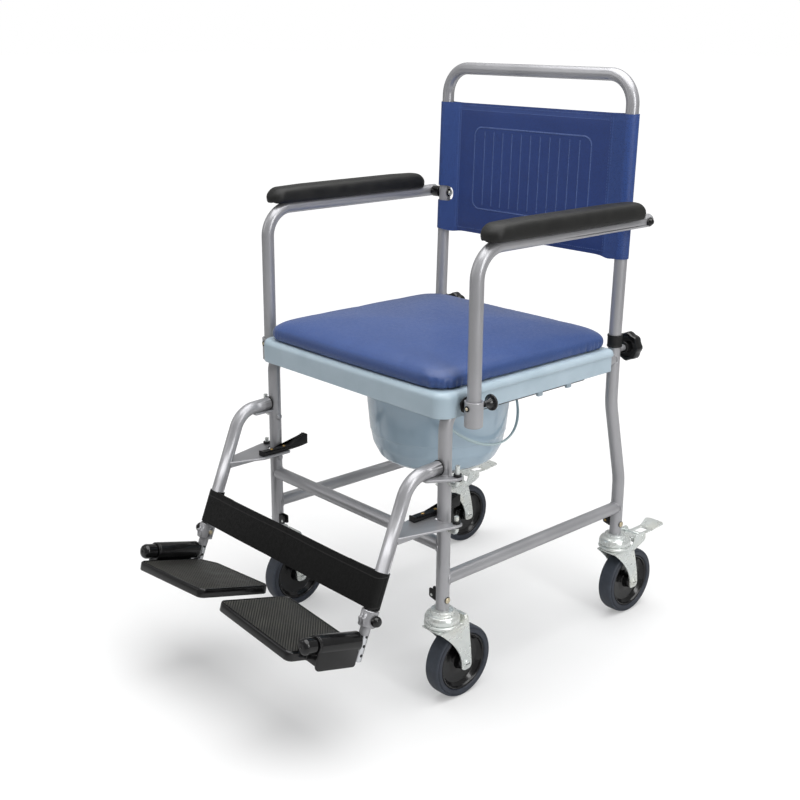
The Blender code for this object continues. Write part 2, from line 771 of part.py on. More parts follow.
def fork_side_outline(y, braked):
    """One side of the fork: wide at the crown, narrow at the axle, with a rear tongue where it is braked."""
    top = crown_top_z() - FORK_PLATE / 2
    axle_y = y + CASTOR_TRAIL
    eye_bottom = WHEEL_RADIUS - AXLE_EYE_RADIUS
    eye_corner = EYE_ROUNDING * AXLE_EYE_RADIUS
    tongue_corner = EYE_ROUNDING * TONGUE_EYE_RADIUS
    corners = [
        (y - FORK_FRONT, top),
        (axle_y - AXLE_EYE_RADIUS, eye_bottom),
        (axle_y + AXLE_EYE_RADIUS, eye_bottom),
        (y + FORK_REAR + FORK_HEEL, PEDAL_PIVOT_Z - FORK_HEEL_DROP),
    ]
    radii = [0.0, eye_corner, eye_corner, FORK_FILLET]
    if braked:
        pivot = y + PEDAL_PIVOT_BACK
        corners += [
            (pivot + TONGUE_EYE_RADIUS, PEDAL_PIVOT_Z - TONGUE_EYE_RADIUS),
            (pivot + TONGUE_EYE_RADIUS, PEDAL_PIVOT_Z + TONGUE_EYE_RADIUS),
            (y + FORK_REAR + TONGUE_EYE_RADIUS, PEDAL_PIVOT_Z + TONGUE_EYE_RADIUS),
        ]
        radii += [tongue_corner, tongue_corner, tongue_corner / 2]
    corners.append((y + FORK_REAR, top))
    radii.append(0.0)
    return rounded_outline(corners, radii)


def build_fork(x, y, name, braked, mats):
    crown_top = crown_top_z()
    outer_half = FORK_INNER_HALF + FORK_PLATE
    centre = FORK_INNER_HALF + FORK_PLATE / 2
    crown_front = y - FORK_FRONT + FORK_PLATE / 2
    crown_rear = y + FORK_REAR - FORK_PLATE / 2
    fork = box(
        name + "_fork",
        (x - centre, crown_front, crown_top - FORK_PLATE),
        (x + centre, crown_rear, crown_top),
    )
    race_bottom = crown_top - FORK_PLATE / 2
    join(fork, rod(name + "_race", (x, y, race_bottom), (x, y, race_top_z()), RACE_RADIUS, TURN_STEPS))
    outline = fork_side_outline(y, braked)
    for side in (-1, 1):
        join(fork, side_slab(f"{name}_fork_side_{side}", outline, x + side * centre, FORK_PLATE))
    axle = (y + CASTOR_TRAIL, WHEEL_RADIUS)
    head_end = outer_half + AXLE_HEAD_THICKNESS
    axle_end = outer_half + AXLE_HEAD_THICKNESS / 2
    join(fork, rod(name + "_axle", (x - axle_end, *axle), (x + axle_end, *axle), AXLE_RADIUS, SMALL_SIDES))
    for side in (-1, 1):
        start = (x + side * centre, *axle)
        end = (x + side * head_end, *axle)
        join(fork, rod(f"{name}_axle_head_{side}", start, end, AXLE_HEAD_RADIUS, SMALL_SIDES))
    if braked:
        reach = outer_half + FORK_PLATE / 2
        ends = [(x + across, y + PEDAL_PIVOT_BACK, PEDAL_PIVOT_Z) for across in (-reach, reach)]
        join(fork, rod(name + "_pedal_pin", *ends, PEDAL_PIN_RADIUS, SMALL_SIDES))
    hole_top = race_top_z() + PAST
    hole_bottom = crown_top - FORK_PLATE - PAST
    cut(fork, rod(name + "_king_hole", (x, y, hole_bottom), (x, y, hole_top), KING_PIN_RADIUS + 2 * TOUCH))
    return finish(fork, mats["zinc"])


def wheel_place(x, y):
    return facing((x, y + CASTOR_TRAIL, WHEEL_RADIUS), (1, 0, 0))


def build_hub(x, y, name, mats):
    bore = AXLE_RADIUS + HUB_BORE_CLEARANCE
    boss_half = FORK_INNER_HALF - TOUCH
    rim_inner = HUB_RIM_RADIUS - HUB_RIM_WALL
    half = [
        (bore, boss_half),
        (HUB_BOSS_RADIUS, boss_half),
        (HUB_BOSS_RADIUS, HUB_WEB_HALF),
        (rim_inner, HUB_WEB_HALF),
        (rim_inner, HUB_HALF_WIDTH),
        (HUB_RIM_RADIUS, HUB_HALF_WIDTH),
    ]
    profile = half + [(radius, -across) for radius, across in reversed(half)]
    return finish(turned(name + "_hub", profile, wheel_place(x, y), ring=True), mats["hub"])


def build_tyre(x, y, name, mats):
    inner = HUB_RIM_RADIUS + 2 * TOUCH
    half = [
        (inner, HUB_HALF_WIDTH),
        (WHEEL_RADIUS - TYRE_SHOULDER, TYRE_HALF_WIDTH),
        (WHEEL_RADIUS, TYRE_HALF_WIDTH - TYRE_SHOULDER),
    ]
    profile = half + [(radius, -across) for radius, across in reversed(half)]
    tyre = turned(name + "_tyre", profile, wheel_place(x, y), TYRE_STEPS, ring=True)
    return finish(tyre, mats["tyre"])


def build_brake_pedal(x, y, name, mats):
    """A treadle on a pin between the fork's tongues, with a shoe over the tyre."""
    plate_bottom = PEDAL_PIVOT_Z - PEDAL_PLATE / 2
    plate_top = PEDAL_PIVOT_Z + PEDAL_PLATE / 2
    pedal = box(
        name + "_brake_pedal",
        (x - PEDAL_HALF_WIDTH, y + PEDAL_FRONT, plate_bottom),
        (x + PEDAL_HALF_WIDTH, y + PEDAL_REAR, plate_top),
    )
    pivot = (y + PEDAL_PIVOT_BACK, PEDAL_PIVOT_Z)
    barrel_half = FORK_INNER_HALF - TOUCH
    barrel_ends = [(x + across, *pivot) for across in (-barrel_half, barrel_half)]
    join(pedal, rod(name + "_barrel", *barrel_ends, PEDAL_BARREL_RADIUS, SMALL_SIDES))
    rise = math.radians(TREAD_RISE_DEG)
    along = Vector((math.cos(rise), math.sin(rise)))
    across = Vector((-along.y, along.x)) * PEDAL_PLATE / 2
    tread_start = Vector((y + PEDAL_REAR - PEDAL_PLATE, PEDAL_PIVOT_Z))
    tread_end = tread_start + along * TREAD_LENGTH
    tread_outline = [tread_start - across, tread_end - across, tread_end + across, tread_start + across]
    join(pedal, side_slab(name + "_tread", tread_outline, x, 2 * TREAD_HALF_WIDTH))
    shoe_y = (SHOE_FRONT + SHOE_REAR) / 2 - CASTOR_TRAIL
    shoe_bottom = WHEEL_RADIUS + math.sqrt((WHEEL_RADIUS + SHOE_TYRE_GAP) ** 2 - shoe_y**2)
    join(
        pedal,
        box(
            name + "_shoe",
            (x - SHOE_HALF_WIDTH, y + SHOE_FRONT, shoe_bottom),
            (x + SHOE_HALF_WIDTH, y + SHOE_REAR, PEDAL_PIVOT_Z),
        ),
    )
    window = box(
        name + "_window",
        (x - PEDAL_WINDOW_HALF, y + PEDAL_WINDOW_FRONT, plate_bottom - PAST),
        (x + PEDAL_WINDOW_HALF, y + PEDAL_WINDOW_REAR, plate_top + PAST),
    )
    bore_half = barrel_half + PAST
    bore_ends = [(x + across, *pivot) for across in (-bore_half, bore_half)]
    bore = rod(name + "_pedal_bore", *bore_ends, PEDAL_PIN_RADIUS + 2 * TOUCH, SMALL_SIDES)
    cut(pedal, window, bore)
    return finish(pedal, mats["zinc"])


# Back


def back_path(start_z):
    """From one post, over the push bar and down the other, starting at a height."""
    top_y = leaned_y(PUSH_BAR_Z)
    half = [(REAR_LEG_X, REAR_LEG_TOP_Y, LEAN_START_Z), (REAR_LEG_X, top_y, PUSH_BAR_Z)]
    start = (REAR_LEG_X, REAR_LEG_TOP_Y, start_z)
    if start_z >= LEAN_START_Z:
        start = (REAR_LEG_X, leaned_y(start_z), start_z)
        half = half[1:]
    corners = [start] + half
    corners += [(-x, y, z) for x, y, z in reversed(corners)]
    bends = [0.0] * (len(half) - 1) + [PUSH_BAR_BEND]
    return bent_path(corners, bends + bends[::-1])


def build_back_frame(mats):
    joint_z = REAR_LEG_TOP_Z + TOUCH
    back = pipe("back_frame", back_path(joint_z), TUBE_RADIUS)
    spigot_radius = BORE_RADIUS - TOUCH
    collet_radius = BORE_RADIUS + TOUCH
    spigot = [
        (0.0, joint_z + SPIGOT_INSIDE),
        (collet_radius, joint_z + SPIGOT_INSIDE),
        (collet_radius, joint_z + TOUCH),
        (spigot_radius, joint_z + TOUCH),
        (spigot_radius, REAR_LEG_TOP_Z - SPIGOT_DEPTH),
        (0.0, REAR_LEG_TOP_Z - SPIGOT_DEPTH),
    ]
    for side in (-1, 1):
        place = Matrix.Translation((side * REAR_LEG_X, REAR_LEG_TOP_Y, 0))
        join(back, turned(f"spigot_{side}", spigot, place, TUBE_SIDES))
    cut(back, pipe("back_bore", back_path(joint_z + SPIGOT_INSIDE + PAST), BORE_RADIUS, BORE_SIDES))
    for side in (-1, 1):
        ends = [(side * (REAR_LEG_X + reach), leaned_y(ARM_Z), ARM_Z) for reach in (-0.02, 0.02)]
        cut(back, rod(f"back_bolt_hole_{side}", *ends, BOLT_RADIUS + TOUCH, SMALL_SIDES))
    return finish(back, mats["paint"])


def build_sling(mats):
    """A vinyl panel with a sleeve round each back post and a notch for each arm bolt."""
    lean = math.radians(BACK_LEAN_DEG)
    middle_z = (SLING_BOTTOM_Z + SLING_TOP_Z) / 2
    place = Matrix.Translation((0, leaned_y(middle_z), middle_z)) @ Matrix.Rotation(-lean, 4, "X")
    height = (SLING_TOP_Z - SLING_BOTTOM_Z) / math.cos(lean)
    sling = box(
        "back_sling",
        (-REAR_LEG_X, -SLING_PANEL / 2, -height / 2),
        (REAR_LEG_X, SLING_PANEL / 2, height / 2),
    )
    sling.matrix_world = place @ sling.matrix_world
    sleeve_bore = TUBE_RADIUS + TOUCH
    for side in (-1, 1):
        ends = [place @ Vector((side * REAR_LEG_X, 0, end * height / 2)) for end in (-1, 1)]
        join(sling, rod(f"sling_sleeve_{side}", *ends, sleeve_bore + SLING_SLEEVE_WALL))
    for side in (-1, 1):
        ends = [place @ Vector((side * REAR_LEG_X, 0, end * height)) for end in (-1, 1)]
        cut(sling, rod(f"sling_bore_{side}", *ends, sleeve_bore))
        reach = sorted((side * NOTCH_INNER_X, side * (REAR_LEG_X + 2 * TUBE_RADIUS)))
        depth = 2 * TUBE_RADIUS
        y = leaned_y(ARM_Z)
        cut(
            sling,
            box(
                f"sling_notch_{side}",
                (reach[0], y - depth, ARM_Z - NOTCH_HALF_HEIGHT),
                (reach[1], y + depth, ARM_Z + NOTCH_HALF_HEIGHT),
            ),
        )
    return finish(sling, mats["sling"])


def build_collar(side, name, mats):
    bottom = REAR_LEG_TOP_Z + 2 * TOUCH
    inner = TUBE_RADIUS + TOUCH
    profile = ring_profile(inner, inner + COLLAR_WALL, bottom, bottom + COLLAR_HEIGHT)
    place = Matrix.Translation((side * REAR_LEG_X, REAR_LEG_TOP_Y, 0))
    return finish(turned(name + "_collar", profile, place, ring=True), mats["black"])


def build_handwheel(side, name, mats):
    x = side * REAR_LEG_X
    centre = (x, HANDWHEEL_Y, HANDWHEEL_Z)
    outline = lobed_outline(HANDWHEEL_RADIUS, HANDWHEEL_LOBE, HANDWHEEL_LOBES)
    wheel = slab(name + "_handwheel", outline, HANDWHEEL_THICKNESS, facing(centre, (0, -1, 0)))
    face_y = HANDWHEEL_Y - HANDWHEEL_THICKNESS / 2
    neck_end = (x, BOSS_END_Y + TOUCH, HANDWHEEL_Z)
    join(wheel, rod(name + "_neck", neck_end, (x, face_y + PAST, HANDWHEEL_Z), HANDWHEEL_NECK_RADIUS))
    tip_y = REAR_LEG_TOP_Y + BORE_RADIUS + TOUCH
    tip = (x, tip_y, HANDWHEEL_Z)
    join(wheel, rod(name + "_screw", tip, (x, face_y, HANDWHEEL_Z), HANDWHEEL_SCREW_RADIUS, SMALL_SIDES))
    return finish(wheel, mats["black"])


# Arms


def arm_path(side, overrun=0.0):
    x = side * ARM_X
    corners = [
        (x, ARM_POST_Y, ARM_FOOT_Z - overrun),
        (x, ARM_POST_Y, ARM_Z),
        (x, leaned_y(ARM_Z) + ARM_TAIL + overrun, ARM_Z),
    ]
    return bent_path(corners, [ARM_BEND])


def saddle_cutter(side, name):
    """The way that the peg takes out of the arm's foot, both as the arm swings up and as the back lifts."""
    clear = PEG_RADIUS + PEG_CLEARANCE
    out_z = SADDLE_BOTTOM_Z - 2 * clear
    pivot = Vector((leaned_y(ARM_Z), ARM_Z))
    peg = Vector((ARM_POST_Y, PEG_Z)) - pivot
    turn = (PEG_Z - out_z) / abs(peg.x)
    exit_point = Vector(
        (peg.x * math.cos(turn) - peg.y * math.sin(turn), peg.x * math.sin(turn) + peg.y * math.cos(turn))
    )
    along = (exit_point - peg).normalized()
    across = Vector((-along.y, along.x))
    top = PEG_Z + clear
    rear_top = ARM_POST_Y + (clear - across.y * clear) / across.x
    rear_out = ARM_POST_Y + (clear - across.y * (out_z - PEG_Z)) / across.x
    outline = rounded_outline(
        [(ARM_POST_Y - clear, out_z), (ARM_POST_Y - clear, top), (rear_top, top), (rear_out, out_z)],
        [0.0, 0.98 * clear, 0.98 * clear, 0.0],
    )
    inner = PEG_START_X
    outer = PEG_END_X + PEG_CLEARANCE
    return side_slab(name, outline, side * (inner + outer) / 2, outer - inner)


def plunger_hole(side, name):
    x = side * ARM_X
    start = (x, ARM_POST_Y + PEG_RADIUS + TOUCH, PEG_Z)
    end = (x, ARM_POST_Y + 3 * PEG_RADIUS + SADDLE_WALL, PEG_Z)
    return rod(name, start, end, PLUNGER_RADIUS + TOUCH, SMALL_SIDES)


def build_arm_tube(side, name, mats):
    arm = pipe(name + "_arm_tube", arm_path(side), TUBE_RADIUS)
    bore = pipe(name + "_arm_bore", arm_path(side, PAST), BORE_RADIUS, BORE_SIDES)
    ends = [(side * (ARM_X + reach), leaned_y(ARM_Z), ARM_Z) for reach in (-0.02, 0.02)]
    bolt_hole = rod(name + "_arm_bolt_hole", *ends, BOLT_RADIUS + TOUCH, SMALL_SIDES)
    cut(arm, bore, bolt_hole)
    cut(arm, saddle_cutter(side, name + "_arm_slot"), plunger_hole(side, name + "_arm_plunger_hole"))
    return finish(arm, mats["paint"])


def build_arm_saddle(side, name, mats):
    inner = TUBE_RADIUS + TOUCH
    profile = ring_profile(inner, inner + SADDLE_WALL, SADDLE_BOTTOM_Z, SADDLE_TOP_Z)
    place = Matrix.Translation((side * ARM_X, ARM_POST_Y, 0))
    saddle = turned(name + "_arm_saddle", profile, place, ring=True)
    cut(saddle, saddle_cutter(side, name + "_saddle_slot"), plunger_hole(side, name + "_saddle_hole"))
    return finish(saddle, mats["paint"])


def build_arm_pad(side, name, mats):
    pad = box(
        name + "_arm_pad",
        (side * PAD_X - PAD_HALF_WIDTH, PAD_FRONT_Y, PAD_BOTTOM_Z),
        (side * PAD_X + PAD_HALF_WIDTH, PAD_REAR_Y, PAD_TOP_Z),
    )
    soften(pad, PAD_EDGE, 3)
    ends = [(side * ARM_X, y, ARM_Z) for y in (PAD_FRONT_Y - PAST, PAD_REAR_Y + PAST)]
    cut(pad, rod(name + "_pad_channel", *ends, TUBE_RADIUS + TOUCH))
    return finish(pad, mats["foam"])


def build_arm_peg(side, name, mats):
    """The peg that carries the arm's foot, with a flange that guides it."""
    flange_end = ARM_X - TUBE_RADIUS - SADDLE_WALL - 2 * TOUCH
    profile = [
        (0.0, PEG_END_X),
        (PEG_RADIUS, PEG_END_X),
        (PEG_RADIUS, flange_end),
        (FLANGE_RADIUS, flange_end),
        (FLANGE_RADIUS, flange_end - FLANGE_THICKNESS),
        (PEG_RADIUS, flange_end - FLANGE_THICKNESS),
        (PEG_RADIUS, PEG_START_X),
        (0.0, PEG_START_X),
    ]
    place = facing((0, ARM_POST_Y, PEG_Z), (side, 0, 0))
    peg = turned(name + "_arm_peg", profile, place, SMALL_SIDES)
    cut(peg, pipe(name + "_peg_cope", side_frame_path(side), TUBE_RADIUS + TOUCH))
    return finish(peg, mats["black"])


def build_arm_plunger(side, name, mats):
    """A lock pin through the saddle with a mushroom knob behind; height runs back from the post."""
    tip = PEG_RADIUS + PLUNGER_TIP_GAP
    neck = PLUNGER_NECK_Y - ARM_POST_Y
    knob = KNOB_Y - ARM_POST_Y
    profile = [
        (0.0, knob + KNOB_THICKNESS),
        (0.8 * KNOB_RADIUS, knob + KNOB_THICKNESS),
        (KNOB_RADIUS, knob + 0.5 * KNOB_THICKNESS),
        (0.8 * KNOB_RADIUS, knob),
        (3 * PLUNGER_RADIUS, knob),
        (2 * PLUNGER_RADIUS, neck),
        (PLUNGER_RADIUS, neck),
        (PLUNGER_RADIUS, tip),
        (0.0, tip),
    ]
    place = facing((side * ARM_X, ARM_POST_Y, PEG_Z), (0, 1, 0))
    return finish(turned(name + "_arm_plunger", profile, place, SMALL_SIDES), mats["black"])


def build_pivot_bolt(side, name, mats):
    """Bolt, spacer and dome nut on the arm's hinge line; height runs out from the middle of the chair."""
    post_inner = REAR_LEG_X - TUBE_RADIUS - TOUCH
    post_outer = REAR_LEG_X + TUBE_RADIUS + TOUCH
    arm_inner = ARM_X - TUBE_RADIUS - TOUCH
    arm_outer = ARM_X + TUBE_RADIUS + TOUCH
    profile = [
        (0.0, arm_outer + NUT_HEIGHT),
        (0.5 * BOLT_HEAD_RADIUS, arm_outer + 0.9 * NUT_HEIGHT),
        (0.9 * BOLT_HEAD_RADIUS, arm_outer + 0.5 * NUT_HEIGHT),
        (BOLT_HEAD_RADIUS, arm_outer),
        (BOLT_RADIUS, arm_outer),
        (BOLT_RADIUS, arm_inner),
        (SPACER_RADIUS, arm_inner),
        (SPACER_RADIUS, post_outer),
        (BOLT_RADIUS, post_outer),
        (BOLT_RADIUS, post_inner),
        (BOLT_HEAD_RADIUS, post_inner),
        (0.6 * BOLT_HEAD_RADIUS, post_inner - BOLT_HEAD_HEIGHT),
        (0.0, post_inner - BOLT_HEAD_HEIGHT),
    ]
    place = facing((0, leaned_y(ARM_Z), ARM_Z), (side, 0, 0))
    return finish(turned(name + "_arm_pivot_bolt", profile, place, SMALL_SIDES), mats["black"])


# Seat


def rounded_rectangle(half_width, front, rear, corner):
    corners = [(-half_width, front), (half_width, front), (half_width, rear), (-half_width, rear)]
    return rounded_outline(corners, [corner] * 4)


def add_runner(ring, side):
    """A guide under the seat: a web, an inward ledge under the pan's rim and a bar along its foot."""
    under_plate = RING_TOP_Z - RING_PLATE / 2
    ledge_top = PAN_RIM_Z - PAN_WALL - TOUCH
    rib_bottom = SEAT_RAIL_Z + TUBE_RADIUS + TOUCH
    web_middle = RUNNER_INNER_X + RUNNER_WEB / 2
    shapes = {
        "web": (RUNNER_INNER_X, RUNNER_INNER_X + RUNNER_WEB, RUNNER_BAR_BOTTOM_Z, under_plate),
        "ledge": (LEDGE_INNER_X, web_middle, ledge_top - RUNNER_LEDGE, ledge_top),
        "bar": (web_middle, RUNNER_OUTER_X, RUNNER_BAR_BOTTOM_Z, RUNNER_BAR_TOP_Z),
        "rib": (RIB_INNER_X, RING_HALF_WIDTH - RING_WALL / 2, rib_bottom, under_plate),
    }
    for name, (inner, outer, bottom, top) in shapes.items():
        low_x, high_x = sorted((side * inner, side * outer))
        front, rear = (RIB_FRONT_Y, RIB_REAR_Y) if name == "rib" else (RUNNER_FRONT_Y, RUNNER_REAR_Y)
        join(ring, box(f"ring_{name}_{side}", (low_x, front, bottom), (high_x, rear, top)))


def build_seat_ring(mats):
    outer = rounded_rectangle(RING_HALF_WIDTH, RING_FRONT_Y, RING_REAR_Y, RING_CORNER)
    ring = upright_slab("seat_ring", outer, RING_BOTTOM_Z, RING_TOP_Z)
    soften(ring, RING_WALL, 1)
    inner_front = RING_FRONT_Y + RING_WALL
    inner_rear = RING_REAR_Y - RING_WALL
    inner_half = RING_HALF_WIDTH - RING_WALL
    inner = rounded_rectangle(inner_half, inner_front, inner_rear, RING_CORNER - RING_WALL)
    cut(ring, upright_slab("ring_hollow", inner, RING_BOTTOM_Z - PAST, RING_TOP_Z - RING_PLATE))
    lip = oval_outline(HOLE_HALF_WIDTH + RING_WALL, HOLE_HALF_LENGTH + RING_WALL)
    join(ring, upright_slab("ring_lip", lip, HOLE_LIP_BOTTOM_Z, RING_TOP_Z - RING_PLATE / 2))
    for side in (-1, 1):
        add_runner(ring, side)
    hole = oval_outline(HOLE_HALF_WIDTH, HOLE_HALF_LENGTH)
    cut(ring, upright_slab("ring_hole", hole, HOLE_LIP_BOTTOM_Z - PAST, RING_TOP_Z + PAST))
    rail_top = SEAT_RAIL_Z + TUBE_RADIUS + TOUCH
    rear_gap = box(
        "ring_rear_gap",
        (-RING_HALF_WIDTH - PAST, REAR_CROSS_Y - TUBE_RADIUS - TOUCH, RING_BOTTOM_Z - PAST),
        (RING_HALF_WIDTH + PAST, RING_REAR_Y + PAST, rail_top),
    )
    cut(ring, rear_gap)
    for side in (-1, 1):
        reach = sorted((side * (RING_HALF_WIDTH - 2 * RING_WALL), side * (RING_HALF_WIDTH + PAST)))
        half = PEG_RADIUS + PEG_CLEARANCE
        cut(
            ring,
            box(
                f"ring_peg_gap_{side}",
                (reach[0], ARM_POST_Y - half, RING_BOTTOM_Z - PAST),
                (reach[1], ARM_POST_Y + half, PEG_Z + half),
            ),
        )
    return finish(ring, mats["grey_plastic"])


def build_cushion(mats):
    outline = rounded_rectangle(CUSHION_HALF_WIDTH, CUSHION_FRONT_Y, CUSHION_REAR_Y, CUSHION_CORNER)
    cushion = upright_slab("seat_cushion", outline, RING_TOP_Z + TOUCH, CUSHION_TOP_Z)
    soften(cushion, CUSHION_EDGE, 3)
    smooth(cushion)
    return finish(cushion, mats["vinyl"])


def bail_directions():
    """The hinge line's direction and the way that the bail hangs from it."""
    turn = math.radians(BAIL_TURN_DEG)
    tilt = math.radians(BAIL_TILT_DEG)
    along = Vector((-math.sin(turn), math.cos(turn), 0))
    out = Vector((math.cos(turn), math.sin(turn), 0))
    hang = out * math.sin(tilt) + Vector((0, 0, -math.cos(tilt)))
    centre = out * BAIL_OFFSET + Vector((0, 0, BAIL_HINGE_Z))
    return along, hang, centre


def build_pan(mats):
    outside = [
        (PAN_RIM_RADIUS, PAN_RIM_Z - PAN_WALL),
        (PAN_MOUTH_RADIUS, PAN_RIM_Z - PAN_WALL),
        (PAN_WAIST_RADIUS, PAN_WAIST_Z),
        (PAN_SIDE_RADIUS, PAN_SIDE_Z),
        (PAN_KNUCKLE_RADIUS, PAN_BOTTOM_Z + PAN_KNUCKLE_RISE),
        (PAN_FOOT_RADIUS, PAN_BOTTOM_Z),
        (0.0, PAN_BOTTOM_Z),
    ]
    pan = turned("pan", outside, Matrix.Identity(4), TYRE_STEPS)
    wall = pan.modifiers.new("wall", "SOLIDIFY")
    wall.thickness = PAN_WALL
    wall.offset = -1.0
    wall.use_even_offset = True
    along, _, centre = bail_directions()
    for end in (-1, 1):
        middle = centre + along * end * (EAR_INNER + EAR_OUTER) / 2
        ear = box(
            f"pan_ear_{end}",
            (-EAR_HALF_HEIGHT, -(EAR_OUTER - EAR_INNER) / 2, -EAR_HALF_HEIGHT),
            (EAR_HALF_HEIGHT, (EAR_OUTER - EAR_INNER) / 2, PAN_RIM_Z - PAN_WALL / 2 - BAIL_HINGE_Z),
        )
        turn = Matrix.Rotation(math.radians(BAIL_TURN_DEG), 4, "Z")
        ear.matrix_world = Matrix.Translation(middle) @ turn @ ear.matrix_world
        join(pan, ear)
        near = centre + along * end * (EAR_INNER - PAST)
        far = centre + along * end * (EAR_OUTER + PAST)
        cut(pan, rod(f"pan_ear_hole_{end}", near, far, BAIL_WIRE + TOUCH, SMALL_SIDES))
    return finish(pan, mats["pan"])


def build_bail(mats):
    """A wire bow round one side of the pan, with a pin turned in at each end."""
    along, hang, centre = bail_directions()
    bow = []
    for step in range(BAIL_STEPS + 1):
        turn = math.pi * step / BAIL_STEPS
        bow.append(centre + along * BAIL_HALF_WIDTH * math.cos(turn) + hang * BAIL_DROP * math.sin(turn))
    first_pin = centre + along * (BAIL_HALF_WIDTH - BAIL_PIN)
    last_pin = centre - along * (BAIL_HALF_WIDTH - BAIL_PIN)
    return finish(pipe("pan_bail", [first_pin] + bow + [last_pin], BAIL_WIRE, WIRE_SIDES), mats["wire"])


# Footrests


def hanger_path(side, overrun=0.0):
    x = side * FRONT_LEG_X
    end = Vector((x, down_tube_y(CLAMP_Z), CLAMP_Z))
    corners = [
        (x, HANGER_END_Y + overrun, HANGER_END_Z),
        (x, down_tube_y(HANGER_CORNER_Z), HANGER_CORNER_Z),
        end + DOWN_DIRECTION * overrun,
    ]
    return bent_path(corners, [HANGER_BEND])


def plate_outline(side, front_y, with_lobe):
    """A flat bracket from the hanger tube round the outer front of the leg to the hinge pin."""
    clear_front = FRONT_LEG_Y - TUBE_RADIUS - PLATE_LEG_GAP
    half = TUBE_RADIUS - PLATE_SIDE_INSET
    corners = [
        (FRONT_LEG_X - half, clear_front),
        (FRONT_LEG_X - half, front_y),
        (FRONT_LEG_X + half, front_y),
        (PIN_X + EYE_RADIUS, FRONT_LEG_Y - EYE_RADIUS),
        (PIN_X + EYE_RADIUS, FRONT_LEG_Y + EYE_RADIUS),
        (PIN_X - EYE_RADIUS, FRONT_LEG_Y + EYE_RADIUS),
        (PIN_X - EYE_RADIUS, FRONT_LEG_Y - 0.4 * EYE_RADIUS),
        (FRONT_LEG_X + TUBE_RADIUS + PLATE_SIDE_INSET, clear_front),
    ]
    eye_corner = EYE_ROUNDING * EYE_RADIUS
    radii = [0.0, PLATE_CORNER, PLATE_CORNER, eye_corner, eye_corner, eye_corner, 0.0, 0.0]
    if with_lobe:
        lobe = [
            (LOBE_OUTER_X, clear_front),
            (LOBE_OUTER_X, LOBE_REAR_Y),
            (LOBE_INNER_X, LOBE_REAR_Y),
            (LOBE_INNER_X, LEVER_FRONT_Y),
            (FRONT_LEG_X - half, front_y),
        ]
        corners = lobe + corners[2:]
        radii = [0.0, LOBE_CORNER, LOBE_CORNER, LOBE_CORNER, 0.0] + radii[2:]
    return rounded_outline([(side * x, y) for x, y in corners], radii)


def build_hanger(side, name, mats):
    hanger = pipe(name + "_hanger", hanger_path(side), TUBE_RADIUS)
    x = side * FRONT_LEG_X
    upper_top = UPPER_PLATE_BOTTOM_Z + UPPER_PLATE
    upper_outline = plate_outline(side, UPPER_PLATE_FRONT_Y, False)
    join(hanger, upright_slab(name + "_upper_plate", upper_outline, UPPER_PLATE_BOTTOM_Z, upper_top))
    lower_top = LOWER_PLATE_BOTTOM_Z + LOWER_PLATE
    lower_outline = plate_outline(side, down_tube_y(lower_top), True)
    join(hanger, upright_slab(name + "_lower_plate", lower_outline, LOWER_PLATE_BOTTOM_Z, lower_top))
    end = Vector((x, down_tube_y(CLAMP_Z), CLAMP_Z))
    half = DOWN_DIRECTION * CLAMP_LENGTH / 2
    join(hanger, rod(name + "_clamp", end - half, end + half, CLAMP_RADIUS, TURN_STEPS))
    tip_start = (side * (FRONT_LEG_X - POST_RADIUS - 4 * TOUCH), end.y, end.z)
    tip_end = (side * (FRONT_LEG_X - CLAMP_RADIUS - CLAMP_BOLT_TIP), end.y, end.z)
    join(hanger, rod(name + "_bolt_end", tip_start, tip_end, CLAMP_SCREW_RADIUS, WIRE_SIDES))
    cut(hanger, pipe(name + "_hanger_bore", hanger_path(side, PAST), BORE_RADIUS, BORE_SIDES))
    cut(hanger, rod(name + "_clamp_bore", end - 2 * half, end + 2 * half, POST_RADIUS + TOUCH))
    screw_start = (side * FRONT_LEG_X, end.y, end.z)
    screw_end = (side * (FRONT_LEG_X + CLAMP_RADIUS + PAST), end.y, end.z)
    thread_radius = CLAMP_SCREW_RADIUS + THREAD_CLEARANCE
    cut(hanger, rod(name + "_clamp_thread", screw_start, screw_end, thread_radius, SMALL_SIDES))
    low = (side * PIN_X, FRONT_LEG_Y, LOWER_PLATE_BOTTOM_Z - PAST)
    high = (side * PIN_X, FRONT_LEG_Y, upper_top + PAST)
    cut(hanger, rod(name + "_eye_holes", low, high, PIN_RADIUS + EYE_CLEARANCE, SMALL_SIDES))
    return finish(hanger, mats["paint"])


def build_latch_lever(side, name, mats):
    """A lever on the hanger's lower bracket, with a raised thumb pad behind."""
    bottom = LOWER_PLATE_BOTTOM_Z + LOWER_PLATE + TOUCH
    top = bottom + LEVER_THICKNESS
    raised = top + LEVER_PAD_RISE
    outline = [
        (LEVER_FRONT_Y, bottom),
        (LEVER_BEND_Y, bottom),
        (LEVER_REAR_Y, raised - 0.6 * LEVER_THICKNESS),
        (LEVER_REAR_Y, raised),
        (LEVER_BEND_Y, top),
        (LEVER_FRONT_Y, top),
    ]
    lever = side_slab(name + "_latch_lever", outline, side * LEVER_X, 2 * LEVER_HALF_WIDTH)
    for index, y in enumerate((LEVER_RIVET_Y, LEVER_RIVET_Y + RIVET_SPACING)):
        ends = [(side * LEVER_X, y, top + rise) for rise in (-RIVET_HEIGHT, RIVET_HEIGHT)]
        join(lever, rod(f"{name}_rivet_{index}", *ends, RIVET_RADIUS, WIRE_SIDES))
    return finish(lever, mats["black"])


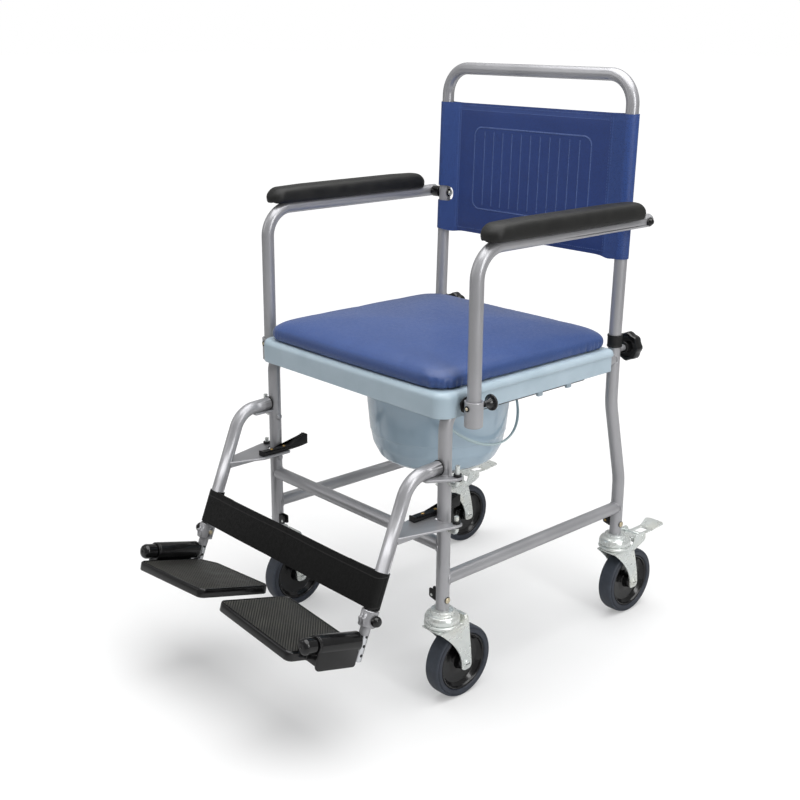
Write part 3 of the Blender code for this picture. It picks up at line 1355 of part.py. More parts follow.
def plate_frame(side):
    """A place whose origin is on the post's axis, with local Y running back down the footplate's hinge."""
    z = DOWN_TUBE_Z - (DOWN_TUBE_Y - PLATE_AXIS_Y) / DOWN_TUBE_SLOPE
    tilt = Matrix.Rotation(-math.radians(PLATE_TILT_DEG), 4, "X")
    return Matrix.Translation((side * FRONT_LEG_X, PLATE_AXIS_Y, z)) @ tilt


def build_footrest_post(side, name, mats):
    """A chrome tube in the hanger with the footplate's hinge shaft welded near its foot."""
    x = side * FRONT_LEG_X
    top = (x, down_tube_y(POST_TOP_Z), POST_TOP_Z)
    bottom = (x, down_tube_y(POST_BOTTOM_Z), POST_BOTTOM_Z)
    post = rod(name + "_footrest_post", top, bottom, POST_RADIUS)
    place = plate_frame(side)
    knob_start = BARREL_END + END_KNOB_GAP
    knob_end = knob_start + END_KNOB_LENGTH
    shaft_end = place @ Vector((0, -knob_start - PAST, 0))
    join(post, rod(name + "_shaft", place.translation, shaft_end, SHAFT_RADIUS))
    knob = [
        (0.0, knob_end),
        (END_KNOB_RADIUS - END_KNOB_EDGE, knob_end),
        (END_KNOB_RADIUS, knob_end - END_KNOB_EDGE),
        (END_KNOB_RADIUS, knob_start),
        (0.0, knob_start),
    ]
    knob_place = place @ Matrix.Rotation(math.pi / 2, 4, "X")
    join(post, turned(name + "_end_knob", knob, knob_place, TUBE_SIDES))
    return finish(post, mats["chrome"])


def build_clamp_knob(side, name, mats):
    """Screw and dome knob that pinch the post; height runs outwards from the post's axis."""
    screw_tip = POST_RADIUS + 2 * TOUCH
    body_start = CLAMP_RADIUS + TOUCH
    body_end = body_start + KNOB_BODY_LENGTH
    profile = [
        (0.0, body_end),
        (0.6 * KNOB_BODY_RADIUS, body_end - 0.1 * KNOB_BODY_LENGTH),
        (0.95 * KNOB_BODY_RADIUS, body_end - 0.4 * KNOB_BODY_LENGTH),
        (KNOB_BODY_RADIUS, body_start),
        (CLAMP_SCREW_RADIUS, body_start),
        (CLAMP_SCREW_RADIUS, screw_tip),
        (0.0, screw_tip),
    ]
    place = facing((side * FRONT_LEG_X, down_tube_y(CLAMP_Z), CLAMP_Z), (side, 0, 0))
    return finish(turned(name + "_clamp_knob", profile, place, SMALL_SIDES), mats["black"])


def local_shape(obj, place):
    obj.matrix_world = place @ obj.matrix_world
    return obj


def build_footplate(side, name, mats):
    """A tread plate that hangs inside a hinge barrel, with a flat wall down the outer side."""
    place = plate_frame(side)
    barrel_ends = [place @ Vector((0, -reach, 0)) for reach in (BARREL_START, BARREL_END)]
    barrel = rod(name + "_footplate", *barrel_ends, BARREL_RADIUS, TURN_STEPS)
    wall_x = sorted((side * (BARREL_RADIUS - WALL_THICKNESS), side * BARREL_RADIUS))
    wall = box(name + "_plate_wall", (wall_x[0], -BARREL_END, -WALL_DROP), (wall_x[1], -WALL_START, 0.0))
    join(barrel, local_shape(wall, place))
    rise = Matrix.Rotation(side * math.radians(PLATE_INNER_RISE_DEG), 4, "Y")
    span_out = FRONT_LEG_X - PLATE_OUTER_X
    span_cut = FRONT_LEG_X - PLATE_CUT_X
    span_in = FRONT_LEG_X - PLATE_INNER_X
    front = -PLATE_FRONT
    rear = -PLATE_REAR
    joint_start = -BARREL_END
    joint_end = -WALL_START - PLATE_CUT / 3
    corners = [
        (-span_in, front),
        (-span_out, front),
        (-span_out, joint_start),
        (BARREL_RADIUS - WALL_THICKNESS / 2, joint_start),
        (BARREL_RADIUS - WALL_THICKNESS / 2, joint_end),
        (-span_out, joint_end),
        (-span_out, rear - PLATE_CUT),
        (-span_cut, rear),
        (-span_in, rear),
    ]
    radii = [PLATE_ROUND, PLATE_ROUND, 0.0, 0.0, 0.0, 0.0, PLATE_NICK, PLATE_NICK, PLATE_ROUND]
    outline = rounded_outline([(side * x, y) for x, y in corners], radii)
    tread_middle = Matrix.Translation((0, 0, -PLATE_DROP - PLATE_THICKNESS / 2))
    join(barrel, slab(name + "_tread_plate", outline, PLATE_THICKNESS, place @ tread_middle @ rise))
    bore_start = place @ Vector((0, -BARREL_START + PAST, 0))
    bore_end = place @ Vector((0, -BARREL_END - PAST, 0))
    cut(barrel, rod(name + "_barrel_bore", bore_start, bore_end, SHAFT_RADIUS + BARREL_BORE_CLEARANCE))
    return finish(barrel, mats["black"])


def build_calf_strap(side, name, mats):
    """Half of the calf strap: a loop round the hanger tube and a flat band to the middle."""
    inner = TUBE_RADIUS + TOUCH
    outer = inner + STRAP_THICKNESS
    x = side * FRONT_LEG_X
    top = Vector((x, down_tube_y(STRAP_TOP_Z), STRAP_TOP_Z))
    place = facing(top, DOWN_DIRECTION)
    strap = turned(name + "_calf_strap", ring_profile(inner, outer, 0.0, STRAP_WIDTH), place, ring=True)
    forward = Vector((0, DOWN_DIRECTION.z, -DOWN_DIRECTION.y))
    middle = top + DOWN_DIRECTION * STRAP_WIDTH / 2 + forward * (inner + STRAP_THICKNESS / 2)
    length = FRONT_LEG_X - STRAP_MIDDLE_GAP
    lean = Matrix.Rotation(math.atan(DOWN_TUBE_SLOPE) * -1, 4, "X")
    band = box(
        name + "_strap_band",
        (-length / 2, -STRAP_THICKNESS / 2, -STRAP_WIDTH / 2),
        (length / 2, STRAP_THICKNESS / 2, STRAP_WIDTH / 2),
    )
    centre_x = side * (FRONT_LEG_X + STRAP_MIDDLE_GAP) / 2
    local_shape(band, Matrix.Translation((centre_x, middle.y, middle.z)) @ lean)
    join(strap, band)
    return finish(strap, mats["strap"])


# Assembly


def carry(name, place, parts, parent=None):
    """An empty on a joint's axis that carries the pieces which move with it."""
    empty = bpy.data.objects.new(name, None)
    empty.empty_display_size = 0.03
    PARTS.objects.link(empty)
    empty.location = place
    if parent is not None:
        empty.parent = parent
        empty.matrix_parent_inverse = Matrix.Translation(parent["place"]).inverted()
    empty["place"] = list(place)
    for part in parts:
        part.parent = empty
        part.matrix_parent_inverse = Matrix.Translation(place).inverted()
    return empty


def build_castor(x, y, name, braked, mats, chair):
    head = build_castor_head(x, y, name, mats)
    fork = build_fork(x, y, name, braked, mats)
    wheel = [build_hub(x, y, name, mats), build_tyre(x, y, name, mats)]
    carry(name + "_castor_seat", (x, y, LEG_FOOT_Z), [head], chair)
    swivel = carry(name + "_swivel_axis", (x, y, LEG_FOOT_Z), [fork], chair)
    carry(name + "_wheel_axis", (x, y + CASTOR_TRAIL, WHEEL_RADIUS), wheel, swivel)
    if braked:
        pedal = build_brake_pedal(x, y, name, mats)
        carry(name + "_pedal_axis", (x, y + PEDAL_PIVOT_BACK, PEDAL_PIVOT_Z), [pedal], swivel)


def build_back_and_arms(sides, mats, chair):
    fixed = [build_back_frame(mats), build_sling(mats)]
    fixed += [build_collar(side, name, mats) for side, name in sides]
    fixed += [build_pivot_bolt(side, name, mats) for side, name in sides]
    back = carry("back_lift", (0, REAR_LEG_TOP_Y, REAR_LEG_TOP_Z), fixed, chair)
    for side, name in sides:
        arm = [build(side, name, mats) for build in (build_arm_tube, build_arm_saddle, build_arm_pad)]
        pivot = carry(name + "_arm_axis", (side * ARM_X, leaned_y(ARM_Z), ARM_Z), arm, back)
        plunger = build_arm_plunger(side, name, mats)
        carry(name + "_plunger_axis", (side * ARM_X, ARM_POST_Y, PEG_Z), [plunger], pivot)
        handwheel = build_handwheel(side, name, mats)
        carry(name + "_handwheel_axis", (side * REAR_LEG_X, HANDWHEEL_Y, HANDWHEEL_Z), [handwheel], chair)


def build_footrest(side, name, mats, chair):
    swung = [build_hanger(side, name, mats), build_calf_strap(side, name, mats)]
    swing = carry(name + "_hanger_axis", (side * PIN_X, FRONT_LEG_Y, UPPER_PLATE_BOTTOM_Z), swung, chair)
    lever = build_latch_lever(side, name, mats)
    lever_z = LOWER_PLATE_BOTTOM_Z + LOWER_PLATE
    carry(name + "_lever_axis", (side * LEVER_X, LEVER_RIVET_Y, lever_z), [lever], swing)
    clamp = (side * FRONT_LEG_X, down_tube_y(CLAMP_Z), CLAMP_Z)
    carry(name + "_clamp_axis", clamp, [build_clamp_knob(side, name, mats)], swing)
    post = carry(name + "_post_axis", clamp, [build_footrest_post(side, name, mats)], swing)
    plate_axis = plate_frame(side).translation
    carry(name + "_footplate_axis", tuple(plate_axis), [build_footplate(side, name, mats)], post)


def build_seat(mats, chair):
    carry("seat_ring_place", (0, 0, RING_BOTTOM_Z), [build_seat_ring(mats)], chair)
    carry("cushion_lift", (0, 0, RING_TOP_Z), [build_cushion(mats)], chair)
    pan_slide = carry("pan_slide", (0, 0, PAN_RIM_Z), [build_pan(mats)], chair)
    _, _, centre = bail_directions()
    carry("bail_axis", tuple(centre), [build_bail(mats)], pan_slide)


def centre_on_origin(chair):
    """Slides the whole chair along Y, so that its outline is centred on the origin."""
    bpy.context.view_layer.update()
    graph = bpy.context.evaluated_depsgraph_get()
    ends = []
    for obj in PARTS.objects:
        if obj.type != "MESH":
            continue
        solid = obj.evaluated_get(graph)
        mesh = solid.to_mesh()
        ends += [(solid.matrix_world @ vertex.co).y for vertex in mesh.vertices]
        solid.to_mesh_clear()
    chair.location.y = -(min(ends) + max(ends)) / 2


def main():
    clear_scene()
    mats = make_materials()
    sides = ((1, "left"), (-1, "right"))
    chair = carry("chair", (0, 0, 0), [])
    frame = [build_front_cross_rail(mats), build_rear_cross_tube(mats)]
    for side, name in sides:
        frame += [
            build(side, name, mats)
            for build in (build_side_frame, build_rear_leg, build_lower_rail, build_arm_peg)
        ]
        build_castor(side * FRONT_LEG_X, FRONT_LEG_Y, "front_" + name, False, mats, chair)
        build_castor(side * REAR_LEG_X, REAR_LEG_FOOT_Y, "rear_" + name, True, mats, chair)
        build_footrest(side, name, mats, chair)
    carry("frame", (0, 0, 0), frame, chair)
    build_back_and_arms(sides, mats, chair)
    build_seat(mats, chair)
    centre_on_origin(chair)


main()
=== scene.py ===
"""Looks of the wheeled commode chair: fine surfaces, finishes, light and camera."""

import json
import math

import bpy
import numpy as np
from mathutils import Matrix, Vector


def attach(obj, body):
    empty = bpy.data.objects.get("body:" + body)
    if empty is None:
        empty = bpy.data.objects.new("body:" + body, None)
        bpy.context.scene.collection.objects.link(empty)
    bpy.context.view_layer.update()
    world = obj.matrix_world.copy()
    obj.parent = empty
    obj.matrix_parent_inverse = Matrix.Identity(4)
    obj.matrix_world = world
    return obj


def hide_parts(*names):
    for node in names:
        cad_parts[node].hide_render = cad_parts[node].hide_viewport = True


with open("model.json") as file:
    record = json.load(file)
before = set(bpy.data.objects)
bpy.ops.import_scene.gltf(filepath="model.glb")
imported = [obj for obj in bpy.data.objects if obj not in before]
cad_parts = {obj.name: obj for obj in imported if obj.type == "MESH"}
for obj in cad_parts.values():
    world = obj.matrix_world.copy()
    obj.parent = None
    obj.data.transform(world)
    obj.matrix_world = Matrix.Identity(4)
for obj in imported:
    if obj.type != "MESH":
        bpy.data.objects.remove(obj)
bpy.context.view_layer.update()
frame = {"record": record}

# Sizes of the chair in metres, with Y measured from the pan's axis
TUBE = 0.0111
FRAME_BEND = 0.040
RAIL_SHORT = 0.006
WELD_BEAD = 0.0017
FRONT_X = 0.2217
FRONT_Y = -0.200
REAR_X = 0.2185
REAR_TOP_Y = 0.2175
REAR_FOOT_Y = 0.2535
FOOT_Z = 0.168
RAIL_Z = 0.512
LEG_TOP_Z = 0.5335
LOWER_RAIL_Z = 0.220
CROSS_RAIL_Z = 0.278
CROSS_TUBE_Y = 0.1925
PIN_X = 0.250
UPPER_PLATE_Z = 0.4003
LOWER_PLATE_Z = 0.3220
WHEEL_RADIUS = 0.0625
TREAD_START = 0.0584
TRAIL = 0.038
CROWN_TOP_Z = 0.1394
RACE_TOP_Z = 0.1474
FORK_CENTRE = 0.02025
FORK_PLATE = 0.0025
FORK_EYE = 0.011
FORK_AHEAD = 0.028
FORK_BEHIND = 0.0395
FORK_BEHIND_BRAKED = 0.031
FORK_SQUARENESS = 3.2
PEDAL_BACK = 0.058
PEDAL_Z = 0.150
PEDAL_PIN = 0.0025
PEDAL_HALF = 0.015
PEDAL_PLATE = 0.0025
PUSH_BAR_Z = 0.996
LEAN = math.radians(1.65)
LEAN_Z = 0.560
HANDWHEEL_Y = 0.2635
HANDWHEEL_Z = 0.5275
HANDWHEEL_RADIUS = 0.0251
HANDWHEEL_LOBE = 0.0011
HANDWHEEL_LOBES = 8
SLING_Z = (0.690, 0.933)
SEAM_X = 0.180
SLEEVE_RADIUS = 0.0125
NOTCH_HALF = 0.0145
PRESSED_Z = 0.814
PRESSED_HALF = (0.123, 0.059)
PRESSED_CORNER = 0.017
PRESSED_PITCH = 0.0228
ARM_X = 0.2603
ARM_POST_Y = -0.178
ARM_FOOT_Z = 0.487
ARM_Z = 0.7595
PAD_X = 0.266
PAD_Y = 0.0175
PAD_HALF = (0.0219, 0.1863)
SADDLE_BORE = 0.01125
PEG_Z = 0.515
STUD_TOPS = (0.4225, 0.3375)
FRONT_CLIP_Z = 0.188
REAR_CLIP_Z = 0.190
RING_HALF = 0.2358
RING_Y = (-0.222, 0.202)
RING_Z = (0.495, 0.5355)
HOLE_HALF = (0.100, 0.130)
CUSHION_Y = (-0.2075, 0.1975)
CUSHION_HALF = 0.2225
CUSHION_Z = (0.5361, 0.5765)
CUSHION_CORNER = 0.036
CUSHION_GIVE = 0.0035
CUSHION_FRONT_GIVE = 0.0075
CUSHION_TOP_GIVE = 0.0075
CUSHION_SWELL = 0.003
PAN_FLOOR_Z = 0.323
PAN_RIM = 0.150
BAIL_TURN = math.radians(12.0)
BAIL_TILT = math.radians(40.0)
BAIL_REACH = 0.130
BAIL_HINGE_Z = 0.4775
HANGER_REAR = (-0.2142, 0.4150)
HANGER_BEND_Z = 0.412
HANGER_BEND = 0.045
HANGER_BORE = 0.0096
DOWN_Y = -0.331
DOWN_Z = 0.275
DOWN_SLOPE = 0.40
LEVER_X = 0.2000
CLAMP_Z = 0.206
CLAMP_BORE = 0.0083
POST_RADIUS = 0.008
PLATE_AXIS_Y = -0.3720
PLATE_TILT = math.radians(15.0)
PLATE_RISE = math.radians(4.2)
PLATE_DROP = 0.0188
PLATE_INNER_X = 0.024
PLATE_CUT_X = 0.176
PLATE_OUTER_X = 0.2116
STRAP_Z = 0.2745
STRAP_WIDTH = 0.058

# The photograph's viewpoint: its width and focal length in pixels, and the camera's place and turns
PICTURE = 800
FOCAL = 1198.7
PICTURE_SHIFT = (8.1469, -12.983)
EYE = (1.4721, -1.4393, 1.0737)
EYE_TURN = 0.8372
EYE_TILT = 0.2933
EYE_ROLL = 0.0037

# Light of the studio
LAMP_PLACE = (0.35, 0.10, 2.6)
LAMP_RADIUS = 1.6
LAMP_POWER = 82.0
ROOM = 0.38
FLOOR_GREY = (205, 205, 205)
FLOOR_ALBEDO = 0.61
FLOOR_WHITE = 1.06
FLOOR_HALF = 40.0
LAMP_TARGET = (0, 0, 0.55)
SIDE_LAMPS = (("left lamp", (-1.9, -2.3, 1.9), 0.8, 1.8, 7), ("right lamp", (2.7, -0.2, 1.6), 0.6, 2.0, 28))

# The frame's Y is the sizes' Y and this shift together; the front castor's joint gives it
SWIVEL = next(j for j in frame["record"]["behaviour"]["joints"] if j["name"] == "front_left_castor_swivel")
SHIFT = np.array([0.0, SWIVEL["pos_m"][1] - FRONT_Y, 0.0])
SIDES = ((1, "left"), (-1, "right"))
X_AXIS = np.array([1.0, 0.0, 0.0])
Y_AXIS = np.array([0.0, 1.0, 0.0])
Z_AXIS = np.array([0.0, 0.0, 1.0])
DOWN_DIRECTION = np.array([0.0, -DOWN_SLOPE, -1.0]) / math.hypot(DOWN_SLOPE, 1.0)
FORWARDS = Matrix.Rotation(math.pi / 2, 4, "X")


def leaned_y(z):
    """Y of the back posts at a height: straight up to the start of the lean, then along its slope."""
    return REAR_TOP_Y + max(z - LEAN_Z, 0.0) * math.tan(LEAN)


def down_y(z):
    """Y of the hanger's sloping tube at a height."""
    return DOWN_Y - DOWN_SLOPE * (DOWN_Z - z)


# Surfaces as whole arrays of points


def unit(vectors):
    """Vectors divided by their lengths."""
    vectors = np.asarray(vectors, float)
    return vectors / np.maximum(np.linalg.norm(vectors, axis=-1, keepdims=True), 1e-12)


def smoothstep(x, low, high):
    """0 below low and 1 above high, with a cubic between."""
    t = np.clip((x - low) / (high - low), 0.0, 1.0)
    return t * t * (3.0 - 2.0 * t)


def bend(corners, radii, steps=10):
    """A path through corners, where each corner is an arc of its radius that touches both its sides."""
    corners = np.array(corners, float)
    runs = [corners[:1]]
    for before, corner, after, radius in zip(corners[:-2], corners[1:-1], corners[2:], radii):
        back, ahead = unit(before - corner), unit(after - corner)
        half = 0.5 * math.acos(float(np.clip(back @ ahead, -1.0, 1.0)))
        turn = math.pi - 2.0 * half
        if radius <= 0.0 or turn < 0.01:
            runs.append(corner[None])
            continue
        reach = min(radius / math.tan(half), 0.499 * np.linalg.norm(before - corner))
        reach = min(reach, 0.499 * np.linalg.norm(after - corner))
        centre = corner + unit(back + ahead) * reach / math.cos(half)
        t = np.linspace(0.0, 1.0, steps + 1)[:, None]
        start, end = corner + back * reach - centre, corner + ahead * reach - centre
        runs.append(centre + (np.sin((1 - t) * turn) * start + np.sin(t * turn) * end) / math.sin(turn))
    runs.append(corners[-1:])
    return np.concatenate(runs)


def closed_bend(corners, radius, steps=5):
    """A closed outline whose corners are all arcs; radius is one number or one for each corner."""
    corners = [tuple(c) for c in corners]
    radii = [radius] * len(corners) if np.isscalar(radius) else list(radius)
    return bend([corners[-1]] + corners + [corners[0]], radii, steps)[1:-1]


def grid_faces(rows, columns, wrap_rows=False, wrap_columns=False):
    """The four-sided faces of a grid of points, joined round where it wraps."""
    index = np.arange(rows * columns).reshape(rows, columns)
    if wrap_rows:
        index = np.vstack([index, index[:1]])
    if wrap_columns:
        index = np.hstack([index, index[:, :1]])
    corners = [index[:-1, :-1], index[:-1, 1:], index[1:, 1:], index[1:, :-1]]
    return np.stack(corners, -1).reshape(-1, 4)


def outward(points, blocks):
    """The same closed surface with its faces turned outwards, judged by the sign of its volume."""
    middle = points.mean(axis=0)
    volume = 0.0
    for block in blocks:
        for k in range(1, block.shape[1] - 1):
            a, b, c = (points[block[:, i]] - middle for i in (0, k, k + 1))
            volume += float(np.einsum("ij,ij->", a, np.cross(b, c)))
    if volume < 0.0:
        blocks = [block[:, ::-1] for block in blocks]
    return points, blocks


def lofted(rings, round_again=False):
    """Rings of points joined to a closed skin; its ends are flat, or it runs round to its first ring."""
    rows, columns = rings.shape[:2]
    blocks = [grid_faces(rows, columns, round_again, True)]
    if not round_again:
        first = np.arange(columns)[None, ::-1]
        blocks += [first, first[:, ::-1] + (rows - 1) * columns]
    return outward(rings.reshape(-1, 3), blocks)


def thick(points, thickness):
    """A grid of points given a wall: half the thickness to each side along its normals, with rims."""
    normal = unit(np.cross(np.gradient(points, axis=0), np.gradient(points, axis=1)))
    rows, columns = points.shape[:2]
    skin = np.concatenate([(points + normal * thickness / 2), (points - normal * thickness / 2)])
    index = np.arange(2 * rows * columns).reshape(2, rows, columns)
    top = grid_faces(rows, columns)
    bottom = top[:, ::-1] + rows * columns
    edge = np.concatenate([index[:, 0, :], index[:, 1:, -1], index[:, -1, -2::-1], index[:, -2:0:-1, 0]], 1)
    following = np.roll(edge, -1, axis=1)
    rim = np.stack([edge[0], following[0], following[1], edge[1]], -1)[:, ::-1]
    return outward(skin.reshape(-1, 3), [top, bottom, rim])


def moved(surface, place):
    """A surface carried by a 4 by 4 place."""
    points, blocks = surface
    place = np.array(place)
    return outward(points @ place[:3, :3].T + place[:3, 3], blocks)


def tube(path, radius, plane, sides=32, stretch=1.0):
    """Circles round a path: point = path + radius (cos a * side + sin a * up), from the plane's normal."""
    path = np.asarray(path, float)
    ahead = unit(np.gradient(path, axis=0))
    side = unit(np.cross(plane, ahead))
    up = np.cross(ahead, side)
    angle = np.linspace(0.0, 2 * math.pi, sides, endpoint=False)
    radius = np.broadcast_to(radius, len(path))[:, None, None]
    stretch = np.broadcast_to(stretch, len(path))[:, None, None]
    circle = np.cos(angle)[:, None] * side[:, None] + stretch * np.sin(angle)[:, None] * up[:, None]
    return lofted(path[:, None] + radius * circle)


def rod(start, end, radius, sides=24):
    """A straight round bar between two points, with its edges eased."""
    start, end = np.array(start, float), np.array(end, float)
    length = float(np.linalg.norm(end - start))
    ease = min(0.12 * radius, 0.3 * length)
    profile = [(0, 0), (radius - ease, 0), (radius, ease), (radius, length - ease), (radius - ease, length)]
    return turned(profile + [(0, length)], facing(start, end - start), sides)


def facing(point, direction):
    """A place whose height runs along a direction."""
    turn = Vector(direction).to_track_quat("Z", "Y").to_matrix().to_4x4()
    return Matrix.Translation(Vector(point)) @ turn


def turned(profile, place, steps=48, ring=False):
    """A profile of radius and height turned round the place's height; a ring's profile is closed."""
    profile = np.array(profile, float)
    angle = np.linspace(0.0, 2 * math.pi, steps, endpoint=False)
    radius = np.maximum(profile[:, 0], 2e-5)[:, None]
    height = np.broadcast_to(profile[:, 1][:, None], (len(profile), steps))
    rings = np.stack([radius * np.cos(angle), radius * np.sin(angle), height], -1)
    return moved(lofted(rings, ring), place)


def eased(corners, radius, steps=4):
    """An open profile with all its inner corners rounded."""
    radii = [radius] * (len(corners) - 2) if np.isscalar(radius) else radius
    return bend(corners, radii, steps)


def spun(corners, radius, place, sides, steps=4):
    """A profile with its inner corners rounded, turned round the place's height."""
    return turned(eased(corners, radius, steps), place, sides)


def hoop(corners, radius, place, sides, steps=3):
    """A closed profile with all its corners rounded, turned round the place's height."""
    return turned(closed_bend(corners, radius, steps), place, sides, True)


def inset(outline, distance):
    """An outline moved inwards by a distance along its own normals."""
    along = np.roll(outline, -1, axis=0) - np.roll(outline, 1, axis=0)
    area = np.sum(outline[:, 0] * np.roll(outline[:, 1], -1) - np.roll(outline[:, 0], -1) * outline[:, 1])
    inward = unit(np.stack([-along[:, 1], along[:, 0]], -1)) * np.sign(area)
    return outline + inward * np.broadcast_to(distance, len(outline))[:, None]


def divided(outline, short, count):
    """A closed outline with more points: each side that isn't short becomes a run of a count of points."""
    runs = []
    for start, end in zip(outline, np.roll(outline, -1, axis=0)):
        points = 2 if np.linalg.norm(end - start) < short else count
        runs.append(np.linspace(start, end, points)[:-1])
    return np.concatenate(runs)


def slab(outline, low, high, edge=0.0008, place=Matrix.Identity(4), steps=3):
    """An outline raised between two heights, with quarter-round edges of one radius."""
    angle = np.linspace(0.0, math.pi / 2, steps + 1)
    drawn = edge * (1.0 - np.sin(angle))
    lift = edge * (1.0 - np.cos(angle))
    levels = list(zip(drawn, low + lift)) + list(zip(drawn[::-1], high - lift[::-1]))
    rings = [np.column_stack([inset(outline, d), np.full(len(outline), z)]) for d, z in levels]
    return moved(lofted(np.array(rings)), place)


def frame_slab(outer, inner, low, high, edge=0.0006, place=Matrix.Identity(4)):
    """A flat plate between two outlines of as many points, with its four edges broken."""
    levels = [
        (inset(outer, edge), low), (outer, low + edge), (outer, high - edge), (inset(outer, edge), high),
        (inset(inner, -edge), high), (inner, high - edge), (inner, low + edge), (inset(inner, -edge), low),
    ]
    rings = [np.column_stack([outline, np.full(len(outline), z)]) for outline, z in levels]
    return moved(lofted(np.array(rings), True), place)


def across(x):
    """A place that lays a flat outline of Y and Z upright, with its thickness along X."""
    return Matrix(((0, 0, 1, x), (1, 0, 0, 0), (0, 1, 0, 0), (0, 0, 0, 1)))


def rectangle(low_x, high_x, low_y, high_y, radius, steps=5):
    """A rectangle with round corners."""
    return closed_bend([(low_x, low_y), (high_x, low_y), (high_x, high_y), (low_x, high_y)], radius, steps)


def hexagon(radius):
    """Six corners, each slightly rounded."""
    angle = np.radians(np.arange(6) * 60.0)
    return closed_bend(np.column_stack([radius * np.cos(angle), radius * np.sin(angle)]), 0.08 * radius, 2)


def box_slab(low, high, edge=0.001):
    """A block between two corners with round edges on all sides."""
    outline = rectangle(low[0], high[0], low[1], high[1], 1.5 * edge, 4)
    return slab(outline, low[2], high[2], edge)


def dome(point, direction, radius, height):
    """A round bolt or rivet head: its rim stands up a third of the height, and its crown is an arc."""
    angle = np.linspace(0.0, math.pi / 2, 7)
    crown = np.column_stack([radius * np.cos(angle), height * (0.3 + 0.7 * np.sin(angle))])
    return turned(np.vstack([[(0, 0), (radius, 0)], crown]), facing(point, direction), 28)


def weld(point, direction, up=Z_AXIS):
    """A rippled bead where a tube meets a tube: distance along = sqrt(radius^2 - (radius cos t)^2), and at
    least a quarter of the radius."""
    direction = unit(direction)
    side = np.cross(up, direction)
    t = np.linspace(0.0, 2 * math.pi, 96, endpoint=False)[:, None]
    spread = TUBE * (np.cos(t) * side + np.sin(t) * up)
    along = np.sqrt(np.maximum(TUBE**2 - (TUBE * np.cos(t)) ** 2, (0.25 * TUBE) ** 2))
    path = np.array(point) + spread + along * direction
    around = np.linspace(0.0, 2 * math.pi, 8, endpoint=False)
    radius = (WELD_BEAD * (1.0 + 0.12 * np.sin(22 * t)))[:, :, None]
    out = unit(spread)[:, None]
    rings = path[:, None] + radius * (np.cos(around)[:, None] * out + np.sin(around)[:, None] * direction)
    return lofted(rings, True)


class Shape:
    """The surfaces of one piece, gathered one by one, each with the number of its finish."""

    def __init__(self):
        self.points, self.faces, self.finishes, self.count = [], [], [], 0

    def add(self, surface, finish=0):
        points, blocks = surface
        self.points.append(points)
        for block in blocks:
            self.faces += (block + self.count).tolist()
            self.finishes += [finish] * len(block)
        self.count += len(points)
        return self


def new_object(name, shape, finishes, sharp=38.0):
    """A mesh object at the origin from a shape, smooth but for its sharp edges."""
    mesh = bpy.data.meshes.new(name)
    mesh.from_pydata((np.concatenate(shape.points) + SHIFT).tolist(), [], shape.faces)
    mesh.polygons.foreach_set("material_index", shape.finishes)
    for finish in finishes:
        mesh.materials.append(finish)
    mesh.shade_smooth()
    mesh.set_sharp_from_angle(angle=math.radians(sharp))
    obj = bpy.data.objects.new(name, mesh)
    bpy.context.scene.collection.objects.link(obj)
    return obj


def piece(node, body, shape, finishes, sharp=38.0, cutters=()):
    """One finished piece that stands for a node of the frame and rides on its body."""
    obj = new_object(node + "_dressed", shape, finishes, sharp)
    for cutter in cutters:
        cut_away(obj, cutter)
    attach(obj, body)
    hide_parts(node)
    return obj


def read_points(mesh):
    """A mesh's vertices as rows of three."""
    values = np.empty(len(mesh.vertices) * 3)
    mesh.vertices.foreach_get("co", values)
    return values.reshape(-1, 3)


def write_points(mesh, points):
    mesh.vertices.foreach_set("co", points.ravel())


def settle(obj):
    """Turns an object's modifiers into its own mesh."""
    graph = bpy.context.evaluated_depsgraph_get()
    mesh = bpy.data.meshes.new_from_object(obj.evaluated_get(graph))
    old = obj.data
    obj.modifiers.clear()
    obj.data = mesh
    bpy.data.meshes.remove(old)


def cut_away(obj, surface):
    """Takes a closed surface out of an object."""
    cutter = new_object("cutter", Shape().add(surface), obj.data.materials)
    change = obj.modifiers.new("cut", "BOOLEAN")
    change.operation = "DIFFERENCE"
    change.solver = "EXACT"
    change.use_self = True
    change.object = cutter
    bpy.context.view_layer.update()
    settle(obj)
    bpy.data.objects.remove(cutter)
    obj.data.set_sharp_from_angle(angle=math.radians(38.0))


# Finishes


